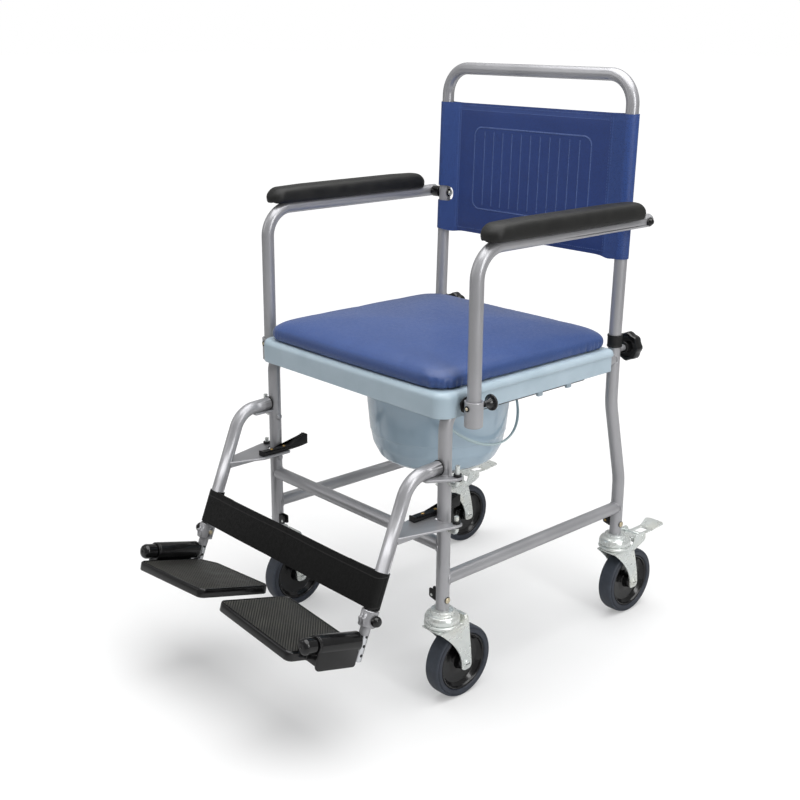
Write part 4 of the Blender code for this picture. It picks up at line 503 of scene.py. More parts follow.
class Finish:
    """A material with one shader, and short calls for the nodes that feed it."""

    def __init__(self, name, colour, roughness, metallic=0.0, **sockets):
        self.material = bpy.data.materials.new(name)
        self.material.use_nodes = True
        self.nodes = self.material.node_tree.nodes
        self.links = self.material.node_tree.links
        self.shader = self.nodes["Principled BSDF"]
        self.shader.inputs["Base Color"].default_value = (*linear(colour), 1.0)
        self.shader.inputs["Roughness"].default_value = roughness
        self.shader.inputs["Metallic"].default_value = metallic
        for socket, value in sockets.items():
            self.shader.inputs[socket.replace("_", " ")].default_value = value
        self.place = self.nodes.new("ShaderNodeTexCoord").outputs["Object"]
        self.material.diffuse_color = (*linear(colour), 1.0)

    def mapped(self, scale=(1, 1, 1), turn=(0, 0, 0)):
        node = self.nodes.new("ShaderNodeMapping")
        node.inputs["Scale"].default_value = scale
        node.inputs["Rotation"].default_value = turn
        self.links.new(self.place, node.inputs["Vector"])
        return node.outputs["Vector"]

    def noise(self, scale, detail=3.0, rough=0.55, where=None):
        node = self.nodes.new("ShaderNodeTexNoise")
        node.inputs["Scale"].default_value = scale
        node.inputs["Detail"].default_value = detail
        node.inputs["Roughness"].default_value = rough
        self.links.new(where or self.place, node.inputs["Vector"])
        return node.outputs["Fac"]

    def cells(self, scale, feature="F1"):
        node = self.nodes.new("ShaderNodeTexVoronoi")
        node.feature = feature
        node.inputs["Scale"].default_value = scale
        self.links.new(self.place, node.inputs["Vector"])
        return node.outputs["Distance"]

    def bands(self, axis, period, where=None):
        """A sine of one coordinate, from 0 to 1, with a period in metres."""
        value = self.maths("MULTIPLY", self.axis(axis, where), 2 * math.pi / period)
        return self.maths("MULTIPLY_ADD", self.maths("SINE", value), 0.5, 0.5)

    def axis(self, axis, where=None):
        node = self.nodes.new("ShaderNodeSeparateXYZ")
        self.links.new(where or self.place, node.inputs[0])
        return node.outputs[axis]

    def maths(self, operation, *values):
        node = self.nodes.new("ShaderNodeMath")
        node.operation = operation
        for socket, value in zip(node.inputs, values):
            if isinstance(value, (int, float)):
                socket.default_value = value
            else:
                self.links.new(value, socket)
        return node.outputs[0]

    def between(self, value, low, high, to_low=0.0, to_high=1.0):
        """A value's range carried smoothly to another range."""
        node = self.nodes.new("ShaderNodeMapRange")
        node.interpolation_type = "SMOOTHSTEP"
        for socket, number in zip(("From Min", "From Max", "To Min", "To Max"), (low, high, to_low, to_high)):
            node.inputs[socket].default_value = number
        self.links.new(value, node.inputs["Value"])
        return node.outputs["Result"]

    def blend(self, factor, first, second):
        """A colour between two, each a colour or the output of another blend."""
        node = self.nodes.new("ShaderNodeMix")
        node.data_type = "RGBA"
        self.links.new(factor, node.inputs["Factor"])
        for socket, colour in ((node.inputs["A"], first), (node.inputs["B"], second)):
            colour_socket = [s for s in node.inputs if s.name == socket.name and s.type == "RGBA"][0]
            if isinstance(colour, tuple):
                colour_socket.default_value = (*linear(colour), 1.0)
            else:
                self.links.new(colour, colour_socket)
        return [s for s in node.outputs if s.type == "RGBA"][0]

    def colour(self, value):
        self.links.new(value, self.shader.inputs["Base Color"])
        return self

    def cloudy(self, value, low, high, first, second):
        """The colour goes from a first to a second as a value goes from low to high."""
        return self.colour(self.blend(self.between(value, low, high), first, second))

    def gap(self, value, place):
        """How far a value is from a place."""
        return self.maths("ABSOLUTE", self.maths("SUBTRACT", value, place))

    def length(self, first, second):
        """The square root of two values' squares."""
        squares = self.maths("ADD", self.maths("POWER", first, 2.0), self.maths("POWER", second, 2.0))
        return self.maths("SQRT", squares)

    def rough(self, value, low, high):
        self.links.new(self.between(value, 0.25, 0.75, low, high), self.shader.inputs["Roughness"])
        return self

    def bump(self, height, depth, strength=1.0):
        """Raises the surface by up to a depth in metres; a second call adds to the first."""
        node = self.nodes.new("ShaderNodeBump")
        node.inputs["Strength"].default_value = strength
        node.inputs["Distance"].default_value = depth
        self.links.new(height, node.inputs["Height"])
        held = self.shader.inputs["Normal"]
        if held.links:
            self.links.new(held.links[0].from_socket, node.inputs["Normal"])
        self.links.new(node.outputs["Normal"], held)
        return self


def linear(colour):
    """Screen values from 0 to 255 as the linear values that a shader takes."""
    value = np.array(colour, float) / 255.0
    return tuple(np.where(value <= 0.04045, value / 12.92, ((value + 0.055) / 1.055) ** 2.4).tolist())


def silver_paint():
    finish = Finish("satin silver paint", (166, 166, 169), 0.34, 0.5, Coat_Weight=0.3, Coat_Roughness=0.16)
    cloud = finish.noise(9.0, 4.0)
    flake = finish.noise(2600.0, 1.0)
    tone = finish.blend(finish.between(cloud, 0.3, 0.7), (162, 162, 165), (171, 171, 174))
    finish.colour(finish.blend(finish.between(flake, 0.55, 0.75, 0.0, 0.15), tone, (200, 201, 206)))
    finish.rough(cloud, 0.30, 0.40)
    return finish.bump(finish.noise(420.0, 2.0), 0.00003, 0.5).material


def zinc_plate(name, bright, dull, tint):
    """Plated steel: bright and dull patches, a faint tint, and fine rolling marks."""
    finish = Finish(name, bright, 0.28, 0.62)
    patch = finish.noise(38.0, 2.0, 0.5)
    tone = finish.blend(finish.between(patch, 0.35, 0.65), bright, dull)
    finish.colour(finish.blend(finish.between(finish.noise(22.0), 0.45, 0.7, 0.0, 0.6), tone, tint))
    finish.rough(finish.noise(60.0, 2.0), 0.24, 0.32)
    return finish.bump(finish.noise(150.0, 1.0), 0.000005, 0.2).material


def chrome():
    finish = Finish("chrome", (212, 214, 218), 0.10, 1.0)
    finish.rough(finish.noise(90.0, 4.0), 0.06, 0.2)
    return finish.bump(finish.noise(260.0, 2.0), 0.00004, 0.5).material


def moulded_plastic(name, colour, low, high, grain, coat=0.0):
    """A moulded colour with a spark-eroded grain and a little dust in its tone."""
    finish = Finish(name, colour, (low + high) / 2, 0.0, Coat_Weight=coat, Coat_Roughness=0.08,
                    Specular_IOR_Level=0.32)
    cloud = finish.noise(35.0, 4.0)
    paler = tuple(c + 8 for c in colour)
    finish.cloudy(cloud, 0.35, 0.75, colour, paler)
    finish.rough(cloud, low, high)
    return finish.bump(finish.noise(1500.0, 2.0), grain, 0.7).material


def arm_foam():
    """Self-skinned foam: a fine pebbled grain over slow waves."""
    finish = Finish("arm pad foam", (30, 30, 29), 0.5, 0.0, Specular_IOR_Level=0.35)
    cloud = finish.noise(28.0, 4.0)
    finish.cloudy(cloud, 0.3, 0.75, (20, 20, 19), (31, 31, 29))
    finish.rough(cloud, 0.42, 0.56)
    finish.bump(finish.noise(120.0, 2.0), 0.00025, 0.5)
    return finish.bump(finish.cells(1100.0), 0.00012, 0.8).material


def seat_vinyl():
    """Coated cloth of the seat: leather-like pebbles between fine creases, with shade in the creases."""
    finish = Finish("blue seat vinyl", (54, 82, 138), 0.38, 0.0, Sheen_Weight=0.12, Sheen_Roughness=0.4)
    pebbles = finish.cells(620.0, "DISTANCE_TO_EDGE")
    cloud = finish.noise(7.0, 3.0)
    tone = finish.blend(finish.between(cloud, 0.3, 0.7), (49, 75, 128), (57, 84, 140))
    crease = finish.between(pebbles, 0.0, 0.16)
    finish.colour(finish.blend(crease, (41, 63, 115), tone))
    finish.rough(finish.noise(160.0, 3.0), 0.32, 0.44)
    finish.bump(crease, 0.00010, 0.5)
    return finish.bump(finish.noise(45.0, 3.0), 0.0004, 0.25).material


def sling_vinyl():
    """Coated cloth of the back: fine pebbles, and eleven pressed lines in a pressed round-cornered frame;
    painted shade darkens the creases between the pebbles, and painted light makes the sleeves paler.
    """
    finish = Finish("blue back vinyl", (38, 62, 122), 0.46, 0.0)
    x, z = finish.axis("X"), finish.axis("Z")
    pebbles = finish.between(finish.cells(620.0, "DISTANCE_TO_EDGE"), 0.0, 0.16)
    away_x = finish.maths("ABSOLUTE", x)
    away_z = finish.gap(z, PRESSED_Z)
    corner = [finish.maths("MAXIMUM", finish.maths("SUBTRACT", away, half), 0.0)
              for away, half in zip((away_x, away_z), PRESSED_HALF)]
    reach = finish.length(*corner)
    border_line = finish.between(finish.gap(reach, PRESSED_CORNER), 0.0007, 0.0019, 1.0, 0.0)
    inside = finish.between(reach, 0.0085, 0.0105, 1.0, 0.0)
    step = finish.maths("PINGPONG", x, PRESSED_PITCH / 2)
    line = finish.maths("MULTIPLY", finish.between(step, 0.0006, 0.0017, 1.0, 0.0), inside)
    pressed = finish.maths("MAXIMUM", line, border_line)
    hem = finish.between(z, 0.9195, 0.9205)
    cloud = finish.noise(8.0, 3.0)
    # painted light: the sleeves round the posts are coloured paler, as where light falls on them
    lit_sleeve = finish.between(away_x, 0.178, 0.181)
    tone = finish.blend(finish.between(cloud, 0.3, 0.7), (28, 56, 118), (34, 63, 128))
    tone = finish.blend(lit_sleeve, tone, (48, 78, 142))
    tone = finish.blend(finish.maths("MULTIPLY", hem, 0.35), tone, (64, 90, 152))
    tone = finish.blend(finish.maths("MULTIPLY", pressed, 0.8), tone, (96, 120, 176))
    # painted shade: the creases between the pebbles are coloured darker
    finish.colour(finish.blend(pebbles, (27, 46, 98), tone))
    finish.rough(finish.noise(150.0, 3.0), 0.40, 0.54)
    finish.bump(pebbles, 0.00009, 0.5)
    return finish.bump(pressed, 0.0009, 0.9).material


def ring_plastic():
    """Pale moulded plastic: slow waves, fine grain and a faint change of tone."""
    finish = Finish("pale ring plastic", (172, 189, 200), 0.38, 0.0, Coat_Weight=0.12, Coat_Roughness=0.25)
    cloud = finish.noise(11.0, 3.0)
    finish.cloudy(cloud, 0.3, 0.7, (166, 184, 195), (177, 194, 205))
    finish.rough(finish.noise(60.0, 3.0), 0.32, 0.46)
    finish.bump(finish.noise(26.0, 2.0), 0.0006, 0.15)
    return finish.bump(finish.noise(1200.0, 2.0), 0.00005, 0.6).material


def pan_plastic():
    """Glossy moulded plastic with faint upright draw lines."""
    finish = Finish("glossy pan plastic", (174, 195, 211), 0.2, 0.0, Coat_Weight=0.5, Coat_Roughness=0.08)
    cloud = finish.noise(10.0, 3.0)
    finish.cloudy(cloud, 0.3, 0.7, (166, 188, 204), (178, 199, 214))
    finish.rough(cloud, 0.16, 0.28)
    finish.bump(finish.noise(18.0, 2.0), 0.0008, 0.2)
    return finish.bump(finish.noise(30.0, 2.0, 0.5, finish.mapped((6, 6, 0.2))), 0.0005, 0.2).material


def bail_plastic():
    finish = Finish("pale bail plastic", (186, 206, 210), 0.32, 0.0, Coat_Weight=0.2, Coat_Roughness=0.2)
    finish.rough(finish.noise(80.0, 3.0), 0.26, 0.42)
    return finish.bump(finish.noise(300.0, 2.0), 0.00008, 0.5).material


def tyre_rubber(name, colour):
    """Grey rubber, slightly dusty."""
    finish = Finish(name, colour, 0.55, 0.0)
    dust = finish.noise(70.0, 4.0, 0.65)
    paler = tuple(c + 16 for c in colour)
    finish.cloudy(dust, 0.4, 0.8, colour, paler)
    finish.rough(dust, 0.44, 0.64)
    return finish.bump(finish.noise(500.0, 3.0), 0.0001, 0.7).material


def strap_webbing():
    """Flat woven strap: ribs along its length crossed by fine picks, with painted shade in the hollows of the
    weave.
    """
    finish = Finish("black webbing", (20, 20, 21), 0.6, 0.0, Specular_IOR_Level=0.2)
    warp = finish.bands("Z", 0.0018)
    weft = finish.bands("X", 0.0013)
    weave = finish.maths("MULTIPLY", warp, weft)
    drop = STRAP_WIDTH / math.hypot(1.0, DOWN_SLOPE)
    off_middle = finish.gap(finish.axis("Z"), STRAP_Z - drop / 2)
    hem = finish.between(finish.gap(off_middle, drop / 2 - 0.0042), 0.0003, 0.0010, 1.0, 0.0)
    # the weave's pattern, with its hollows coloured darker as painted shade and the stitched hems paler
    finish.colour(finish.blend(hem, finish.blend(weave, (8, 8, 8), (26, 26, 26)), (44, 44, 44)))
    finish.rough(finish.noise(200.0, 3.0), 0.46, 0.62)
    finish.bump(hem, 0.0006, 0.6)
    return finish.bump(weave, 0.0003, 0.8).material


def ribbed_rubber():
    """The tread of the footplates: straight ribs 3.8 mm apart, at 40 degrees to the chair's width; the
    grooves between the ribs are near black, a painted shade.
    """
    finish = Finish("ribbed footplate rubber", (48, 48, 45), 0.55, 0.0, Specular_IOR_Level=0.3)
    rib = finish.bands("Y", 0.0038, finish.mapped((1, 1, 1), (0, 0, math.radians(40.0))))
    height = finish.between(rib, 0.3, 0.6)
    worn = finish.noise(40.0, 4.0)
    top = finish.blend(finish.between(worn, 0.35, 0.7), (52, 52, 49), (68, 68, 63))
    # painted shade: near black in the grooves between the ribs, the rubber's own tone on their tops
    finish.colour(finish.blend(height, (9, 9, 9), top))
    finish.rough(worn, 0.42, 0.6)
    return finish.bump(height, 0.0007, 0.9).material


PAINT = silver_paint()
ZINC = zinc_plate("zinc plate", (224, 228, 225), (216, 221, 219), (220, 220, 211))
YELLOW_ZINC = zinc_plate("yellow zinc plate", (216, 204, 176), (192, 178, 146), (206, 196, 176))
BRASS = zinc_plate("brass rivet", (206, 172, 104), (176, 144, 84), (196, 150, 110))
CHROME = chrome()
BLACK = moulded_plastic("black plastic", (20, 20, 21), 0.38, 0.52, 0.00008)
GLOSS = moulded_plastic("glossy black plastic", (11, 11, 12), 0.14, 0.26, 0.00002, 0.3)
DARK = moulded_plastic("dark grey plastic", (58, 60, 63), 0.42, 0.56, 0.00008)
FOAM = arm_foam()
VINYL = seat_vinyl()
SLING_VINYL = sling_vinyl()
THREAD = moulded_plastic("pale blue thread", (92, 114, 168), 0.55, 0.7, 0.00005)
RING = ring_plastic()
PAN = pan_plastic()
BAIL = bail_plastic()
TREAD_RUBBER = tyre_rubber("tyre tread rubber", (50, 56, 66))
WALL_RUBBER = tyre_rubber("tyre wall rubber", (38, 43, 53))
WEBBING = strap_webbing()
RIBBED = ribbed_rubber()


# Frame


def frame_clip(shape, x, y, z, side):
    """A black U-shaped clip on the inner side of a leg with a rivet on each cheek, and a bolt outside."""
    web = x - side * (TUBE - 0.0002)
    tip = x - side * 0.0265
    low, high = sorted((web - side * 0.0030, web))
    shape.add(box_slab((low, y - 0.0052, z - 0.0095), (high, y + 0.0052, z + 0.0095), 0.0009), 1)
    cheek = closed_bend([(web, z - 0.0095), (tip, z - 0.0060), (tip, z + 0.0095), (web, z + 0.0095)],
                        [0.001, 0.004, 0.003, 0.001], 5)
    for way in (-1, 1):
        upright = Matrix(((1, 0, 0, 0), (0, 0, 1, y + way * 0.0042), (0, 1, 0, 0), (0, 0, 0, 1)))
        shape.add(slab(cheek, -0.0012, 0.0012, 0.0007, upright), 1)
        shape.add(dome((x - side * 0.0206, y + way * 0.0052, z - 0.0015), (0, way, 0), 0.0024, 0.0012), 2)
    bolt = (x + side * (TUBE - 0.0002), y, z - 0.002)
    washer = [(0, 0), (0.0058, 0), (0.0058, 0.0009), (0, 0.0009)]
    shape.add(spun(washer, 0.0002, facing(bolt, (side, 0, 0)), 24, 2), 1)
    shape.add(dome((bolt[0] + side * 0.0006, bolt[1], bolt[2]), (side, 0, 0), 0.0050, 0.0026), 3)


def hinge_pin(shape, side, plate_z, top):
    """A bent bolt through the leg, its head inboard, and a washer on each side of the bracket."""
    z = plate_z - 0.0125
    corners = [(side * (FRONT_X - TUBE - 0.003), FRONT_Y, z), (side * PIN_X, FRONT_Y, z)]
    shape.add(tube(bend(corners + [(side * PIN_X, FRONT_Y, top)], [0.0065]), 0.0037, Y_AXIS, 20), 2)
    shape.add(dome((side * (FRONT_X - TUBE + 0.0006), FRONT_Y, z), (-side, 0, 0), 0.0060, 0.0044), 0)
    for under, over, radius in ((-0.0023, -0.0003, 0.0078), (0.0043, 0.0083, 0.0066)):
        low, high = plate_z + under, plate_z + over
        ring = [(0.0036, low), (radius, low), (radius, high), (0.0036, high)]
        shape.add(hoop(ring, 0.0005, Matrix.Translation((side * PIN_X, FRONT_Y, 0)), 36), 1)


def side_frame(side, name):
    """Front leg and seat rail in one bent tube, with its hinge pins, clip and bolt."""
    corners = [(side * FRONT_X, FRONT_Y, FOOT_Z), (side * FRONT_X, FRONT_Y, RAIL_Z)]
    corners.append((side * REAR_X, REAR_TOP_Y - RAIL_SHORT, RAIL_Z))
    shape = Shape().add(tube(bend(corners, [FRAME_BEND], 20), TUBE, X_AXIS, 40))
    for plate_z, top in zip((UPPER_PLATE_Z, LOWER_PLATE_Z), STUD_TOPS):
        hinge_pin(shape, side, plate_z, top)
    frame_clip(shape, side * FRONT_X, FRONT_Y, FRONT_CLIP_Z, side)
    piece(f"{name}_side_frame", "frame", shape, [PAINT, BLACK, ZINC, YELLOW_ZINC])


def rear_leg(side, name):
    """Rear leg with its swerve, the nut that takes the handwheel's screw, a clip and a bolt."""
    x = side * REAR_X
    line = ((REAR_FOOT_Y, FOOT_Z), (REAR_FOOT_Y, 0.278), (REAR_TOP_Y, 0.430), (REAR_TOP_Y, LEG_TOP_Z))
    corners = [(x, y, z) for y, z in line]
    shape = Shape().add(tube(bend(corners, [0.12, 0.12], 16), TUBE, X_AXIS, 40))
    boss = [(0, 0.008), (0.0062, 0.008), (0.0055, 0.0145), (0.0055, 0.026), (0.0034, 0.026), (0.0034, 0.02),
            (0, 0.02)]
    shape.add(spun(boss, 0.0006, facing((x, REAR_TOP_Y, HANDWHEEL_Z), (0, 1, 0)), 32))
    frame_clip(shape, x, REAR_FOOT_Y, REAR_CLIP_Z, side)
    shape.add(weld((x, REAR_TOP_Y, RAIL_Z), (0, -1, 0)))
    piece(f"{name}_rear_leg", "frame", shape, [PAINT, BLACK, BRASS, YELLOW_ZINC])


def lower_rail(side, name):
    """Straight rail low on each side, welded to both legs."""
    front = np.array([side * FRONT_X, FRONT_Y, LOWER_RAIL_Z])
    rear = np.array([side * REAR_X, REAR_FOOT_Y, LOWER_RAIL_Z])
    ahead = unit(rear - front)
    path = np.linspace(front + ahead * RAIL_SHORT, rear - ahead * RAIL_SHORT, 9)
    shape = Shape().add(tube(path, TUBE, X_AXIS, 40))
    shape.add(weld(front, ahead)).add(weld(rear, -ahead))
    piece(f"{name}_lower_rail", "frame", shape, [PAINT])


def cross_tube(node, half, y, z):
    """A tube from side to side with a weld at each end."""
    ends = [np.array([x, y, z]) for x in (-half, half)]
    path = np.linspace(ends[0] + X_AXIS * RAIL_SHORT, ends[1] - X_AXIS * RAIL_SHORT, 9)
    shape = Shape().add(tube(path, TUBE, Y_AXIS, 40))
    up = Y_AXIS if z == RAIL_Z else Z_AXIS
    for end, inward in zip(ends, (X_AXIS, -X_AXIS)):
        shape.add(weld(end, inward, up))
    piece(node, "frame", shape, [PAINT])


# Castors


def castor_head(x, y, name):
    """Cap washer, domed bowl and king pin nut, turned round the leg's axis."""
    place = Matrix.Translation((x, y, 0))
    bowl = [(0, 0.186), (0.0086, 0.186), (0.0086, 0.1677), (0.0195, 0.1677), (0.0200, 0.1622),
            (0.0215, 0.1615), (0.0262, 0.1600), (0.0290, 0.1550), (0.0290, 0.1482), (0.0262, 0.1477),
            (0, 0.1477)]
    radii = [0.0005, 0.0005, 0.0016, 0.0010, 0.0010, 0.0050, 0.0040, 0.0012, 0.0006]
    shape = Shape().add(spun(bowl, radii, place, 64, 5))
    shape.add(slab(hexagon(0.0108), 0.1306, 0.1366, 0.0008, place))
    shape.add(spun([(0, 0.1292), (0.006, 0.1292), (0.006, 0.148), (0, 0.148)], 0.0008, place, 24))
    piece(f"{name}_castor_head", "frame", shape, [ZINC])


def fork_sheet(x, y, braked):
    """A pressed fork: a U section carried from one eye over the crown to the other. Its front edge sweeps
    down as a power of the height, its rear edge is nearly upright, and its eyes are squared circles. The
    crown of a fork without a brake turns up at the rear."""
    axle_y = y + TRAIL
    crown = CROWN_TOP_Z - FORK_PLATE / 2
    eye = FORK_EYE
    section = bend([(-FORK_CENTRE, WHEEL_RADIUS), (-FORK_CENTRE, crown), (FORK_CENTRE, crown),
                    (FORK_CENTRE, WHEEL_RADIUS)], [0.0045, 0.0045], 6)
    turn = np.linspace(0.02, math.pi / 2, 14)[:-1]
    low = np.column_stack([np.full(len(turn), -FORK_CENTRE), WHEEL_RADIUS - eye * np.cos(turn)])
    left = np.vstack([low, np.linspace(section[0], section[1], 22)[:-1]])
    line = np.vstack([left, section[1:-1], left[::-1] * (-1.0, 1.0)])
    z = line[:, 1]
    drop = np.clip((WHEEL_RADIUS - z) / eye, 0.0, 1.0)
    half = eye * (1.0 - drop**FORK_SQUARENESS) ** (1 / FORK_SQUARENESS)
    rise = np.clip((z - WHEEL_RADIUS) / (crown - WHEEL_RADIUS), 0.0, 1.0)
    below = z < WHEEL_RADIUS
    back = y + (FORK_BEHIND_BRAKED if braked else FORK_BEHIND)
    front = np.where(below, axle_y - half, axle_y - eye + (y - FORK_AHEAD - axle_y + eye) * rise**1.8)
    rear = np.where(below, axle_y + half, axle_y + eye + (back - axle_y - eye) * rise**1.3)
    ys = front[:, None] + (rear - front)[:, None] * np.linspace(0.0, 1.0, 25)
    high = smoothstep(z, 0.100, crown)[:, None]
    lift = 0.0 if braked else 0.0118 * smoothstep(ys - y, 0.0295, 0.0340) * high
    xs = np.broadcast_to(x + line[:, :1], ys.shape)
    return thick(np.stack(np.broadcast_arrays(xs, ys, z[:, None] + lift), -1), FORK_PLATE)


def castor_fork(x, y, name, braked):
    """Fork, rolled race, axle bolt and nut, and the tongues and pin of the pedal where it is braked; a thin
    black bar across the axle bolt's head is the painted shade of its slot.
    """
    shape = Shape().add(fork_sheet(x, y, braked))
    race = eased([(0.0067, RACE_TOP_Z), (0.0262, RACE_TOP_Z), (0.0300, 0.1450), (0.0300, 0.1418),
                  (0.0262, CROWN_TOP_Z - 0.0004), (0.0067, CROWN_TOP_Z - 0.0004)], 0.0022, 5)
    shape.add(turned(race, Matrix.Translation((x, y, 0)), 64, True))
    axle = (y + TRAIL, WHEEL_RADIUS)
    outer = FORK_CENTRE + FORK_PLATE / 2
    shape.add(rod((x - outer, *axle), (x + outer, *axle), 0.004, 20))
    shape.add(dome((x + outer, *axle), (1, 0, 0), 0.0062, 0.0030))
    # painted shade: a thin black bar stands for the shaded slot in the axle bolt's head
    slot = rectangle(axle[0] - 0.0048, axle[0] + 0.0048, axle[1] - 0.0006, axle[1] + 0.0006, 0.0003, 2)
    shape.add(slab(slot, -0.0004, 0.0004, 0.0001, across(x + outer + 0.0028)), 1)
    shape.add(slab(hexagon(0.0068), 0.0, 0.0030, 0.0006, facing((x - outer, *axle), (-1, 0, 0))))
    washer = [(0, 0), (0.0088, 0), (0.0088, 0.0007), (0, 0.0007)]
    for way in (1, -1):
        shape.add(spun(washer, 0.0002, facing((x + way * outer, *axle), (way, 0, 0)), 32, 2))
    if braked:
        tongue = closed_bend([(y + 0.014, 0.131), (y + 0.033, 0.1284), (y + 0.067, 0.141), (y + 0.067, 0.159),
                              (y + 0.038, 0.159), (y + 0.0285, 0.1385), (y + 0.014, 0.1385)],
                             [0.001, 0.004, 0.0085, 0.0085, 0.004, 0.002, 0.001], 6)
        for way in (1, -1):
            half = FORK_PLATE / 2
            shape.add(slab(tongue, -half, half, 0.0007, across(x + way * FORK_CENTRE)))
            pin = (x + way * (outer - 0.0002), y + PEDAL_BACK, PEDAL_Z)
            shape.add(dome(pin, (way, 0, 0), 0.0036, 0.0014))
        ends = [(x + way * outer, y + PEDAL_BACK, PEDAL_Z) for way in (-1, 1)]
        shape.add(rod(*ends, PEDAL_PIN, 16))
    piece(f"{name}_fork", f"{name}_swivel", shape, [ZINC, BLACK])


def wheel(x, y, name):
    """Deep dished hub and a tyre of two rubbers, with a groove on each wall near the tread."""
    place = facing((x, y + TRAIL, WHEEL_RADIUS), (1, 0, 0))
    half = [(0.0043, 0.0187), (0.0110, 0.0187), (0.0125, 0.0150), (0.0150, 0.0050), (0.0240, 0.0040),
            (0.0400, 0.0045), (0.0450, 0.0100), (0.0462, 0.0128), (0.0474, 0.0136), (0.0490, 0.0132)]
    profile = half + [(r, -h) for r, h in reversed(half)]
    shape = Shape().add(hoop(profile, 0.0014, place, 72, 4))
    piece(f"{name}_hub", f"{name}_wheel", shape, [GLOSS])
    outer = [(0.0496, 0.0), (0.0496, 0.0130), (0.0510, 0.0149), (0.0570, 0.0149), (0.0578, 0.0134),
             (0.0590, 0.0134), (0.0596, 0.0146), (0.0614, 0.0130), (0.0622, 0.0105), (WHEEL_RADIUS, 0.0060),
             (WHEEL_RADIUS, 0.0)]
    ring = outer + [(r, -h) for r, h in reversed(outer[1:-1])]
    points, blocks = hoop(ring, 0.0008, place, 96)
    faces = blocks[0]
    centre = points[faces].mean(axis=1)
    tread = np.hypot(centre[:, 1] - (y + TRAIL), centre[:, 2] - WHEEL_RADIUS) >= TREAD_START
    shape = Shape().add((points, [faces[tread], faces[~tread]]))
    shape.finishes = [0] * int(tread.sum()) + [1] * int((~tread).sum())
    piece(f"{name}_tyre", f"{name}_wheel", shape, [TREAD_RUBBER, WALL_RUBBER])


def pedal_tread(x, y):
    """A thin plate that curls up behind the pedal and widens: height is a sine of the way along it."""
    t = np.linspace(0.0, 1.0, 14)[:, None]
    half = PEDAL_HALF + 0.0056 * smoothstep(t, 0.0, 1.0) - 0.0030 * smoothstep(t, 0.86, 1.0) ** 2
    u = np.linspace(-1.0, 1.0, 19)
    ys = y + 0.0290 * t - 0.0022 * t * smoothstep(np.abs(u), 0.7, 1.0)
    zs = PEDAL_Z + 0.0066 * np.sin(1.35 * t) / math.sin(1.35)
    return thick(np.stack(np.broadcast_arrays(x + half * u, ys, zs), -1), PEDAL_PLATE)


def brake_pedal(x, y, name):
    """Flat plate with a window, a barrel on the pin, a shoe, and a tread that flares up and outwards."""
    plate = rectangle(x - PEDAL_HALF, x + PEDAL_HALF, y + 0.036, y + 0.1005, 0.0025)
    window = rectangle(x - 0.008, x + 0.008, y + 0.068, y + 0.092, 0.0025)
    shape = Shape().add(frame_slab(plate, window, PEDAL_Z - PEDAL_PLATE / 2, PEDAL_Z + PEDAL_PLATE / 2))
    shape.add(pedal_tread(x, y + 0.0985))
    pivot = (y + PEDAL_BACK, PEDAL_Z)
    bore, wall, half = 0.0032, 0.0045, 0.0186
    barrel = [(bore, -half), (wall, -half), (wall, half), (bore, half)]
    shape.add(hoop(barrel, 0.0004, facing((x, *pivot), (1, 0, 0)), 28, 2))
    shape.add(box_slab((x - 0.010, y + 0.063, 0.1287), (x + 0.010, y + 0.067, PEDAL_Z), 0.0006))
    piece(f"{name}_brake_pedal", f"{name}_pedal", shape, [ZINC])


def castor(x, y, name, braked):
    castor_head(x, y, name)
    castor_fork(x, y, name, braked)
    wheel(x, y, name)
    if braked:
        brake_pedal(x, y, name)


# Back


def pivot_hole(side, x):
    """The hole for the arm's pivot bolt through an upright or a rail at a distance from the middle."""
    return rod(*[(side * (x + reach), leaned_y(ARM_Z), ARM_Z) for reach in (-0.02, 0.02)], 0.0043, 24)


def back_tube():
    """Posts and push bar in one bent tube, leaning back from just above the joint, and its spigots."""
    start = [(REAR_X, REAR_TOP_Y, 0.5338), (REAR_X, REAR_TOP_Y, LEAN_Z)]
    corners = start + [(REAR_X, leaned_y(PUSH_BAR_Z), PUSH_BAR_Z)]
    corners += [(-x, y, z) for x, y, z in reversed(corners)]
    shape = Shape().add(tube(bend(corners, [0.0, 0.050, 0.050, 0.0], 24), TUBE, Y_AXIS, 40))
    spigot = [(0, 0.4395), (0.0093, 0.4395), (0.0093, 0.5336), (0, 0.5336)]
    holes = []
    for side, _ in SIDES:
        shape.add(spun(spigot, 0.0008, Matrix.Translation((side * REAR_X, REAR_TOP_Y, 0)), 32))
        holes.append(pivot_hole(side, REAR_X))
    piece("back_frame", "back", shape, [PAINT], cutters=holes)


def sling_section():
    """The closed line of the back's cloth seen from above: a flat front between the seams, a straight run to
    each post, round the post, back to the seam and across behind."""
    lean = math.asin(SLEEVE_RADIUS / (REAR_X - SEAM_X))
    gap = 0.0016
    front = np.column_stack([np.linspace(-SEAM_X, SEAM_X, 73), np.full(73, -gap)])
    angle = np.linspace(-math.pi / 2 - lean, math.pi / 2 + lean, 30)
    round_post = np.column_stack([REAR_X + SLEEVE_RADIUS * np.cos(angle), SLEEVE_RADIUS * np.sin(angle)])
    out = np.linspace((SEAM_X, -gap), round_post[0], 8)[1:-1]
    back = np.linspace(round_post[-1], (SEAM_X, gap), 8)[1:-1]
    right = np.vstack([out, round_post, back])
    left = right[::-1] * (-1.0, 1.0)
    return np.vstack([front, right, front[::-1] * (1.0, -1.0), left])


